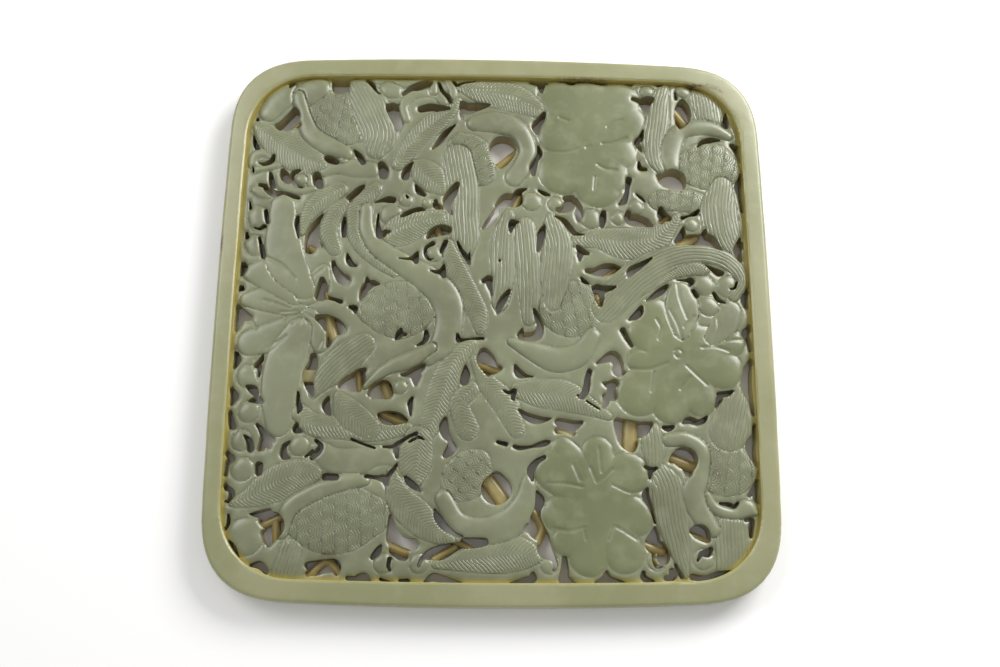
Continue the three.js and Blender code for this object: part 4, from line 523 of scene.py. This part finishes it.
xs = np.arange(-GRID_HALF_WIDTH, GRID_HALF_WIDTH + GRID, GRID)
ys = np.arange(-GRID_HALF_LENGTH, GRID_HALF_LENGTH + GRID, GRID)
X, Y = np.meshgrid(xs, ys)


def window(rounds, reach):
    """The part of the grid within reach of a run of rounds."""
    low = (rounds[:, :2] - rounds[:, 2:]).min(0) - reach
    high = (rounds[:, :2] + rounds[:, 2:]).max(0) + reach
    i0, i1 = np.searchsorted(xs, [low[0], high[0]])
    j0, j1 = np.searchsorted(ys, [low[1], high[1]])
    return slice(max(j0, 0), j1 + 1), slice(max(i0, 0), i1 + 1)


def nearest_round(rounds, reach):
    """The distance from each grid point to a run of rounds, and which round is nearest."""
    rows, columns = window(rounds, reach)
    x = X[rows, columns]
    y = Y[rows, columns]
    best = np.full(x.shape, 1e3)
    which = np.zeros(x.shape, int)
    for k, (cx, cy, r) in enumerate(rounds):
        d = np.hypot(x - cx, y - cy) - r
        closer = d < best
        best[closer] = d[closer]
        which[closer] = k
    return (rows, columns), best, which


def field_of(runs, reach):
    """The distance to the nearest of several runs: below zero inside them."""
    total = np.full(X.shape, float(reach))
    for numbers in runs:
        place, d, _ = nearest_round(smooth_run(numbers), reach)
        total[place] = np.minimum(total[place], d)
    return total


def bowed_rectangle(half_width, half_length, corner, squareness, bow, centre):
    """The distance to a soft-cornered rectangle whose sides bow out: below zero inside it."""
    x, y = X - centre[0], Y - centre[1]
    for _ in range(4):
        x = (X - centre[0]) / (1 + bow[0] * (1 - np.clip(y / half_length, -1, 1) ** 2))
        y = (Y - centre[1]) / (1 + bow[1] * (1 - np.clip(x / half_width, -1, 1) ** 2))
    px = np.abs(x) - (half_width - corner)
    py = np.abs(y) - (half_length - corner)
    qx, qy = np.maximum(px, 0), np.maximum(py, 0)
    return (qx**squareness + qy**squareness) ** (1 / squareness) - corner + np.minimum(np.maximum(px, py), 0)


outer = bowed_rectangle(FRAME_HALF_WIDTH, FRAME_HALF_LENGTH, FRAME_CORNER, FRAME_SQUARENESS, FRAME_BOW,
                        FRAME_CENTRE)
inner = bowed_rectangle(WINDOW_HALF_WIDTH, WINDOW_HALF_LENGTH, WINDOW_CORNER, WINDOW_SQUARENESS, WINDOW_BOW,
                        WINDOW_CENTRE)
opening = field_of(OPENINGS, WIDE_REACH)
opening -= np.where(opening < WIDE_REACH, np.clip(np.abs(X) - WALL_START, 0, WALL_WIDENING), 0)
stem = field_of(STEMS + [PAD], SHORT_REACH)
pad = field_of([PAD], SHORT_REACH)

# The carved face of the openwork.
web = WEB_LOW + WEB_SWELL * (1 - np.exp(-np.maximum(opening, 0) / WEB_SWELL_REACH))
lines = np.zeros(X.shape)
line_mask = np.zeros(X.shape)
tone = np.zeros(X.shape)
SCALE_LENGTH = 4.2
SCALE_WIDTH = 4.6
SCALE_DEPTH = 0.3
BARB_SLANT = 0.75
LINE_FADE = 0.7

for lobes in LOBED_LEAVES:
    edge_gap = -field_of(lobes, WIDE_REACH)
    rolled = LEAF_EDGE + (LEAF_CROWN - LEAF_EDGE) * (1 - np.exp(-np.maximum(edge_gap, 0) / LEAF_ROLL))
    web = np.where(edge_gap > 0, rolled, web)
    beside = (edge_gap <= 0) & (edge_gap > -GROOVE_REACH)
    web = np.where(beside, web - GROOVE_DEPTH * (1 + edge_gap / GROOVE_REACH), web)
    tone = np.where(edge_gap > 0, 1.0, tone)

for form, numbers in CARVING:
    edge, crown, fullness, pitch, way, depth = FORMS[form]
    rounds = smooth_run(numbers)
    place, d, which = nearest_round(rounds, GROOVE_REACH)
    x, y = X[place], Y[place]
    steps = np.hypot(*np.diff(rounds[:, :2], axis=0).T)
    along = np.concatenate([[0], np.cumsum(steps)])
    heading = np.gradient(rounds[:, :2], axis=0)
    heading /= np.linalg.norm(heading, axis=1, keepdims=True) + 1e-9
    near = rounds[which]
    dx, dy = x - near[..., 0], y - near[..., 1]
    hx, hy = heading[which, 0], heading[which, 1]
    aside = hx * dy - hy * dx
    ahead = along[which] + hx * dx + hy * dy
    across = np.clip(np.hypot(dx, dy) / near[..., 2], 0, 1)
    inside = d < 0
    beside = (d >= 0) & (d < GROOVE_REACH)
    height = edge + (crown - edge) * (1 - across**fullness) ** (1 / fullness)
    if way == "scales":
        row = ahead / SCALE_LENGTH
        column = aside / SCALE_WIDTH + 0.5 * (np.floor(row) % 2)
        across_scale = (column - np.floor(column) - 0.5) * SCALE_WIDTH
        along_scale = (row - np.floor(row)) * SCALE_LENGTH
        fan = np.hypot(across_scale, along_scale)
        height = height + SCALE_DEPTH * (0.5 - fan / SCALE_WIDTH)
    face = web[place]
    face = np.where(inside, height, face)
    face = np.where(beside, face - GROOVE_DEPTH * (1 - d / GROOVE_REACH) ** 1.5, face)
    web[place] = face
    if way == "along":
        count = aside / pitch
    elif way == "scales":
        count = fan / pitch
    elif way == "barbs":
        count = (ahead - BARB_SLANT * np.abs(aside)) / pitch
    else:
        count = np.zeros_like(aside)
    lines[place] = np.where(inside, count, lines[place])
    strength = depth * np.clip(-d / LINE_FADE, 0, 1) if way != "none" else np.zeros_like(d)
    line_mask[place] = np.where(inside, strength, line_mask[place] * np.clip(d / 0.4, 0, 1))
    tone[place] = np.where(inside, 0.0, tone[place])

vein_gap = np.maximum(field_of(VEINS, SHORT_REACH), 0)
web -= VEIN_DEPTH * np.exp(-((vein_gap / VEIN_WIDTH) ** 2))
web -= EDGE_DROP * np.exp(-np.maximum(opening, 0) / EDGE_REACH)
web -= WALL_DIP * np.exp(-np.maximum(-inner, 0) / WALL_DIP_REACH)
web = np.clip(web, *WEB_RANGE)
line_mask = line_mask * np.clip(-inner / 0.5, 0, 1)

# The frame's face: a soft outer edge, a slight crown and a small chamfer at the window.
in_from_edge = np.maximum(-outer, 0)
rounding = 1 - np.clip(in_from_edge / EDGE_ROUNDING, 0, 1)
from_window = np.maximum(inner, 0)
rim = FRAME_TOP - EDGE_ROUNDING * (1 - np.sqrt(1 - np.clip(rounding, 0, 1) ** 2))
rim -= RIM_FALL * (in_from_edge - RIM_CREST_IN) ** 2
rim -= LIP_CHAMFER * (1 - np.clip(from_window / LIP_CHAMFER, 0, 1))
rim = np.clip(rim, RIM_LOWEST, FRAME_TOP)

low = STEM_TOP - STEM_DROP * (1 - np.sqrt(np.clip(-stem / STEM_ROUND, 0, 1)))
low = np.where(pad < 0, PAD_TOP - 0.5 * np.exp(pad / 0.5), low)


def grid_triangles():
    """Two triangles for each cell of the grid near the plaque."""
    rows, columns = X.shape
    index = np.arange(rows * columns).reshape(rows, columns)
    a, b = index[:-1, :-1].ravel(), index[:-1, 1:].ravel()
    c, d = index[1:, 1:].ravel(), index[1:, :-1].ravel()
    even = ((np.arange(rows - 1)[:, None] + np.arange(columns - 1)[None]) % 2 == 0).ravel()
    first = np.where(even[:, None], np.stack([a, b, c], 1), np.stack([a, b, d], 1))
    second = np.where(even[:, None], np.stack([a, c, d], 1), np.stack([b, c, d], 1))
    return np.concatenate([first, second])


def cut(values, triangles, labels, column):
    """Cuts every triangle along the zero line of one value, and labels the parts: 1 above zero."""
    f = values[:, column]
    f[np.abs(f) < 1e-3] = 1e-3
    above = f[triangles] > 0
    count = above.sum(1)
    whole = (count == 0) | (count == 3)
    mixed = triangles[~whole]
    up = above[~whole]
    odd = np.where(up.sum(1) == 1, up.argmax(1), (~up).argmax(1))
    rows = np.arange(len(mixed))
    a, b, c = (mixed[rows, (odd + k) % 3] for k in range(3))
    pairs = np.sort(np.concatenate([np.stack([a, b], 1), np.stack([a, c], 1)]), axis=1)
    unique, inverse = np.unique(pairs, axis=0, return_inverse=True)
    inverse = inverse.ravel()
    start, end = values[unique[:, 0]], values[unique[:, 1]]
    t = start[:, column] / (start[:, column] - end[:, column])
    t = np.clip(t, 0.04, 0.96)[:, None]
    made = start + (end - start) * t
    made[:, column] = 1e-3
    ab = len(values) + inverse[: len(mixed)]
    ac = len(values) + inverse[len(mixed):]
    lone_label = (up.sum(1) == 1).astype(int)
    old = labels[~whole]
    parts = [
        (triangles[whole], labels[whole] * 2 + (count[whole] == 3)),
        (np.stack([a, ab, ac], 1), old * 2 + lone_label),
        (np.stack([ab, b, c], 1), old * 2 + 1 - lone_label),
        (np.stack([ab, c, ac], 1), old * 2 + 1 - lone_label),
    ]
    return (
        np.concatenate([values, made]),
        np.concatenate([p[0] for p in parts]),
        np.concatenate([p[1] for p in parts]),
    )


# Columns: place, then the four distances that the face is cut along, then the three heights.
values = np.stack([f.ravel() for f in (X, Y, outer, inner, opening, stem, rim, web, low)], 1)
triangles = grid_triangles()
labels = np.zeros(len(triangles), int)
for column in (2, 3, 4, 5):
    values, triangles, labels = cut(values, triangles, labels, column)
outside, in_frame, solid_web, no_stem = ((labels >> bit) & 1 == 1 for bit in (3, 2, 1, 0))
region = np.where(in_frame, 0, np.where(solid_web, 1, np.where(~no_stem, 2, -1)))
region[outside] = -1
kept = region >= 0
triangles, region = triangles[kept], region[kept]

points = len(values)
tops = values[:, 6:9]
corner_ids = triangles + region[:, None] * points
bottom_ids = triangles[:, ::-1] + 3 * points
x3 = np.concatenate([values[:, :2]] * 4)
z3 = np.concatenate([tops[:, 0], tops[:, 1], tops[:, 2], np.zeros(points)])

# Upright walls wherever two regions, or a region and the open air, meet.
edges = np.concatenate([triangles[:, [0, 1]], triangles[:, [1, 2]], triangles[:, [2, 0]]])
edge_region = np.tile(region, 3)
lookup = {}
for (p, q), r in zip(edges.tolist(), edge_region.tolist()):
    lookup[(p, q)] = r
present = np.zeros((points, 4), bool)
for r in range(3):
    present[np.unique(triangles[region == r]), r] = True
present[:, 3] = True
walls = []


def between(p, high, bottom):
    """The levels at a point from just under one region's face down to another's."""
    top_z = z3[p + high * points]
    low_z = z3[p + bottom * points]
    steps = [(z3[p + k * points], k) for k in range(3)
             if present[p, k] and k not in (high, bottom) and low_z < z3[p + k * points] < top_z]
    return [p + k * points for _, k in sorted(steps, reverse=True)]


for (p, q), r in lookup.items():
    other = lookup.get((q, p), 3)
    if other == r or (other != 3 and z3[p + other * points] > z3[p + r * points]):
        continue
    down = between(p, r, other)
    up = between(q, r, other)[::-1]
    walls.append([p + r * points, *down, p + other * points, q + other * points, *up, q + r * points])

used = np.unique(np.concatenate([corner_ids.ravel(), bottom_ids.ravel()]))
renumber = np.full(4 * points, -1)
renumber[used] = np.arange(len(used))
co = np.stack([x3[used, 0] - FRAME_CENTRE[0], x3[used, 1] - FRAME_CENTRE[1], z3[used]], 1) * MM
faces = renumber[corner_ids].tolist() + renumber[bottom_ids].tolist()
faces += [[int(renumber[k]) for k in wall] for wall in walls]

mesh = bpy.data.meshes.new("plaque")
mesh.from_pydata(co.tolist(), [], faces)
mesh.update()
plaque = bpy.data.objects.new("plaque", mesh)
bpy.context.scene.collection.objects.link(plaque)
bpy.context.view_layer.objects.active = plaque


def apply_modifiers(piece):
    """Bakes a piece's modifiers into its mesh."""
    shaped = piece.evaluated_get(bpy.context.evaluated_depsgraph_get())
    fresh = bpy.data.meshes.new_from_object(shaped)
    piece.modifiers.clear()
    piece.data = fresh


plaque.modifiers.new("triangles", "TRIANGULATE")
apply_modifiers(plaque)
count = len(plaque.data.polygons)
thin = plaque.modifiers.new("thin", "DECIMATE")
thin.ratio = TRIANGLE_BUDGET / count
apply_modifiers(plaque)


def sampled(grid_values, place, nearest=False):
    """A grid's values at given places in millimetres."""
    u = (place[:, 0] - xs[0]) / GRID
    v = (place[:, 1] - ys[0]) / GRID
    if nearest:
        row = np.clip(np.rint(v).astype(int), 0, len(ys) - 1)
        column = np.clip(np.rint(u).astype(int), 0, len(xs) - 1)
        return grid_values[row, column]
    i = np.clip(u.astype(int), 0, len(xs) - 2)
    j = np.clip(v.astype(int), 0, len(ys) - 2)
    s, t = u - i, v - j
    g = grid_values
    return (g[j, i] * (1 - s) * (1 - t) + g[j, i + 1] * s * (1 - t)
            + g[j + 1, i] * (1 - s) * t + g[j + 1, i + 1] * s * t)


mesh = plaque.data
flat = np.zeros(len(mesh.vertices) * 3)
mesh.vertices.foreach_get("co", flat)
place = flat.reshape(-1, 3) / MM + (*FRAME_CENTRE, 0)
for name, numbers, nearest in (
    ("line_count", lines, True),
    ("line_mask", line_mask, False),
    ("leaf_tone", tone, False),
    ("window", np.clip(0.5 - inner / 0.8, 0, 1), False),
    # The band along the frame's inner wall that gets the painted glow of light.
    ("painted_lip_glow", np.exp(-((inner / PAINTED_GLOW_BAND) ** 2)), False),
    ("stain", np.exp(-np.maximum(field_of(STAINS, 3), 0) / STAIN_REACH), False),
):
    layer = mesh.attributes.new(name, "FLOAT", "POINT")
    layer.data.foreach_set("value", sampled(numbers, place, nearest).astype(np.float32))
mesh.shade_smooth()
mesh.set_sharp_from_angle(angle=CREASE_ANGLE)

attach(plaque, "root")
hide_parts("jade_plaque")


# ---- material ----
def colour(red, green, blue):
    """A linear colour from the 0 to 255 values that a screen shows."""
    def straight(v):
        v /= 255
        return v / 12.92 if v <= 0.04045 else ((v + 0.055) / 1.055) ** 2.4
    return (straight(red), straight(green), straight(blue), 1.0)


def jade_material():
    """Polished nephrite: mottled grey-green, yellower on the frame; the brown down the pierced walls and the
    olive-yellow on the frame's inner wall are painted light glowing through the stone.
    """
    material = bpy.data.materials.new("celadon_jade")
    material.use_nodes = True
    tree = material.node_tree
    nodes, links = tree.nodes, tree.links
    shader = nodes["Principled BSDF"]
    shader.inputs["Subsurface Weight"].default_value = 0.5
    shader.inputs["Subsurface Radius"].default_value = (1.0, 0.9, 0.45)
    shader.inputs["Subsurface Scale"].default_value = 0.004
    shader.inputs["IOR"].default_value = 1.61

    def node(kind, **settings):
        made = nodes.new(kind)
        for key, value in settings.items():
            setattr(made, key, value)
        return made

    def attribute(name):
        return node("ShaderNodeAttribute", attribute_name=name).outputs["Fac"]

    def math_node(operation, a, b=None, c=None, clamp=False):
        made = node("ShaderNodeMath", operation=operation, use_clamp=clamp)
        for k, value in enumerate((a, b, c)):
            if value is None:
                continue
            if isinstance(value, (int, float)):
                made.inputs[k].default_value = value
            else:
                links.new(value, made.inputs[k])
        return made.outputs[0]

    def mix(factor, a, b, blend="MIX"):
        made = node("ShaderNodeMix", data_type="RGBA", blend_type=blend)
        for socket, value in ((made.inputs[0], factor), (made.inputs[6], a), (made.inputs[7], b)):
            if isinstance(value, (int, float, tuple)):
                socket.default_value = value
            else:
                links.new(value, socket)
        return made.outputs[2]

    def noise(scale, detail=3.0, rough=0.55):
        made = node("ShaderNodeTexNoise")
        made.inputs["Scale"].default_value = scale
        made.inputs["Detail"].default_value = detail
        made.inputs["Roughness"].default_value = rough
        links.new(where, made.inputs["Vector"])
        return made.outputs["Fac"]

    def ramp(value, low_end, high_end):
        made = node("ShaderNodeMapRange", interpolation_type="SMOOTHSTEP")
        links.new(value, made.inputs["Value"])
        made.inputs["From Min"].default_value = low_end
        made.inputs["From Max"].default_value = high_end
        return made.outputs["Result"]

    where = node("ShaderNodeTexCoord").outputs["Object"]
    split = node("ShaderNodeSeparateXYZ")
    links.new(where, split.inputs[0])
    height = split.outputs["Z"]

    cloud = ramp(noise(28), 0.35, 0.65)
    fleck = ramp(noise(170, 2.0), 0.45, 0.75)
    web_colour = mix(cloud, colour(113, 116, 88), colour(126, 130, 101))
    leaf_colour = mix(cloud, colour(104, 110, 76), colour(116, 121, 86))
    web_colour = mix(attribute("leaf_tone"), web_colour, leaf_colour)
    frame_colour = mix(ramp(noise(18), 0.38, 0.62), colour(139, 140, 101), colour(151, 150, 114))
    inside = attribute("window")
    face = mix(inside, frame_colour, web_colour)
    face = mix(math_node("MULTIPLY", fleck, 0.25), face, colour(158, 162, 132))
    # Painted light: deep down in the window, the walls and low stems take an olive-brown that stands for
    # light glowing through the stone.
    deep = ramp(math_node("MULTIPLY", height, -1.0), -0.0058, -0.0038)
    wall = mix(ramp(noise(60), 0.35, 0.65), colour(138, 120, 66), colour(166, 152, 98))
    result = mix(math_node("MULTIPLY", deep, inside), face, wall)
    # Painted light: the frame's inner wall, below its chamfer, is painted bright olive-yellow for light
    # glowing through the stone.
    painted_lip_glow = math_node("MULTIPLY", attribute("painted_lip_glow"), ramp(math_node("MULTIPLY", height, -1.0), -0.0094, -0.0086))
    result = mix(painted_lip_glow, result, colour(176, 164, 92))
    stain = math_node("MULTIPLY", attribute("stain"), ramp(noise(900, 4.0), 0.3, 0.6))
    result = mix(stain, result, colour(84, 62, 36))
    links.new(result, shader.inputs["Base Color"])

    rough = math_node("MULTIPLY_ADD", noise(90), 0.16, 0.24)
    links.new(rough, shader.inputs["Roughness"])

    wave = math_node("SINE", math_node("MULTIPLY", attribute("line_count"), 2 * math.pi))
    groove = math_node("POWER", math_node("MULTIPLY_ADD", wave, 0.5, 0.5), 4.0)
    groove = math_node("MULTIPLY", groove, attribute("line_mask"))
    relief = math_node("MULTIPLY_ADD", noise(420, 3.0), 0.25, math_node("MULTIPLY", groove, -1.0))
    bump = node("ShaderNodeBump")
    bump.inputs["Strength"].default_value = 1.0
    bump.inputs["Distance"].default_value = 0.00018
    links.new(relief, bump.inputs["Height"])
    links.new(bump.outputs["Normal"], shader.inputs["Normal"])
    return material


mesh.materials.clear()
mesh.materials.append(jade_material())

# ---- floor, lights and camera ----
FLOOR_SIZE = 3.0
floor_mesh = bpy.data.meshes.new("table")
half = FLOOR_SIZE / 2
floor_corners = [(-half, -half, 0), (half, -half, 0), (half, half, 0), (-half, half, 0)]
floor_mesh.from_pydata(floor_corners, [], [(0, 1, 2, 3)])
table = bpy.data.objects.new("table", floor_mesh)
bpy.context.scene.collection.objects.link(table)
cloth = bpy.data.materials.new("white_table")
cloth.use_nodes = True
cloth.node_tree.nodes["Principled BSDF"].inputs["Base Color"].default_value = (0.96, 0.955, 0.95, 1)
cloth.node_tree.nodes["Principled BSDF"].inputs["Roughness"].default_value = 0.9
floor_mesh.materials.append(cloth)
table.location.z = -0.0002

scene = bpy.context.scene
world = bpy.data.worlds.new("studio")
scene.world = world
world.use_nodes = True
world.node_tree.nodes["Background"].inputs["Color"].default_value = (1, 1, 1, 1)
world.node_tree.nodes["Background"].inputs["Strength"].default_value = 0.55
scene.view_settings.view_transform = "Standard"


def area_light(name, at, size, power):
    """A soft panel of light aimed at the plaque."""
    lamp = bpy.data.lights.new(name, "AREA")
    lamp.shape = "RECTANGLE"
    lamp.size, lamp.size_y = size
    lamp.energy = power
    holder = bpy.data.objects.new(name, lamp)
    scene.collection.objects.link(holder)
    holder.location = at
    holder.rotation_euler = (-Vector(at)).to_track_quat("-Z", "Y").to_euler()


area_light("key_panel", (0.42, 0.4, 0.42), (0.4, 0.3), 4.8)
area_light("side_panel", (-0.55, 0.45, 0.8), (0.5, 0.4), 2.9)

# The camera looks down on the plaque from its near edge.
UNIT = 0.197
TILT, ROLL, YAW = 0.26946435, -0.01232813, -0.0284451
SHIFT = Vector((-0.01013464, 0.03641693, 0.0))
DISTANCE = 1.98931589
OUTLINE_HEIGHT = 0.006
FOCAL, SENSOR = 39.6, 36.0
ahead = Vector((-math.sin(YAW), math.sin(TILT) * math.cos(YAW), -math.cos(TILT) * math.cos(YAW)))
upward = Vector((0, math.cos(TILT), math.sin(TILT)))
unroll = Matrix.Rotation(-ROLL, 3, "Z")
eye = unroll @ (-DISTANCE * ahead - SHIFT) * UNIT - Vector((*FRAME_CENTRE, 0)) * MM
forward, up = unroll @ ahead, unroll @ upward
lens = bpy.data.cameras.new("camera")
lens.lens, lens.sensor_width, lens.sensor_fit = FOCAL, SENSOR, "HORIZONTAL"
camera = bpy.data.objects.new("camera", lens)
scene.collection.objects.link(camera)
turn = Matrix((forward.cross(up), up, -forward)).transposed()
camera.matrix_world = Matrix.Translation(eye + Vector((0, 0, OUTLINE_HEIGHT))) @ turn.to_4x4()
scene.camera = camera
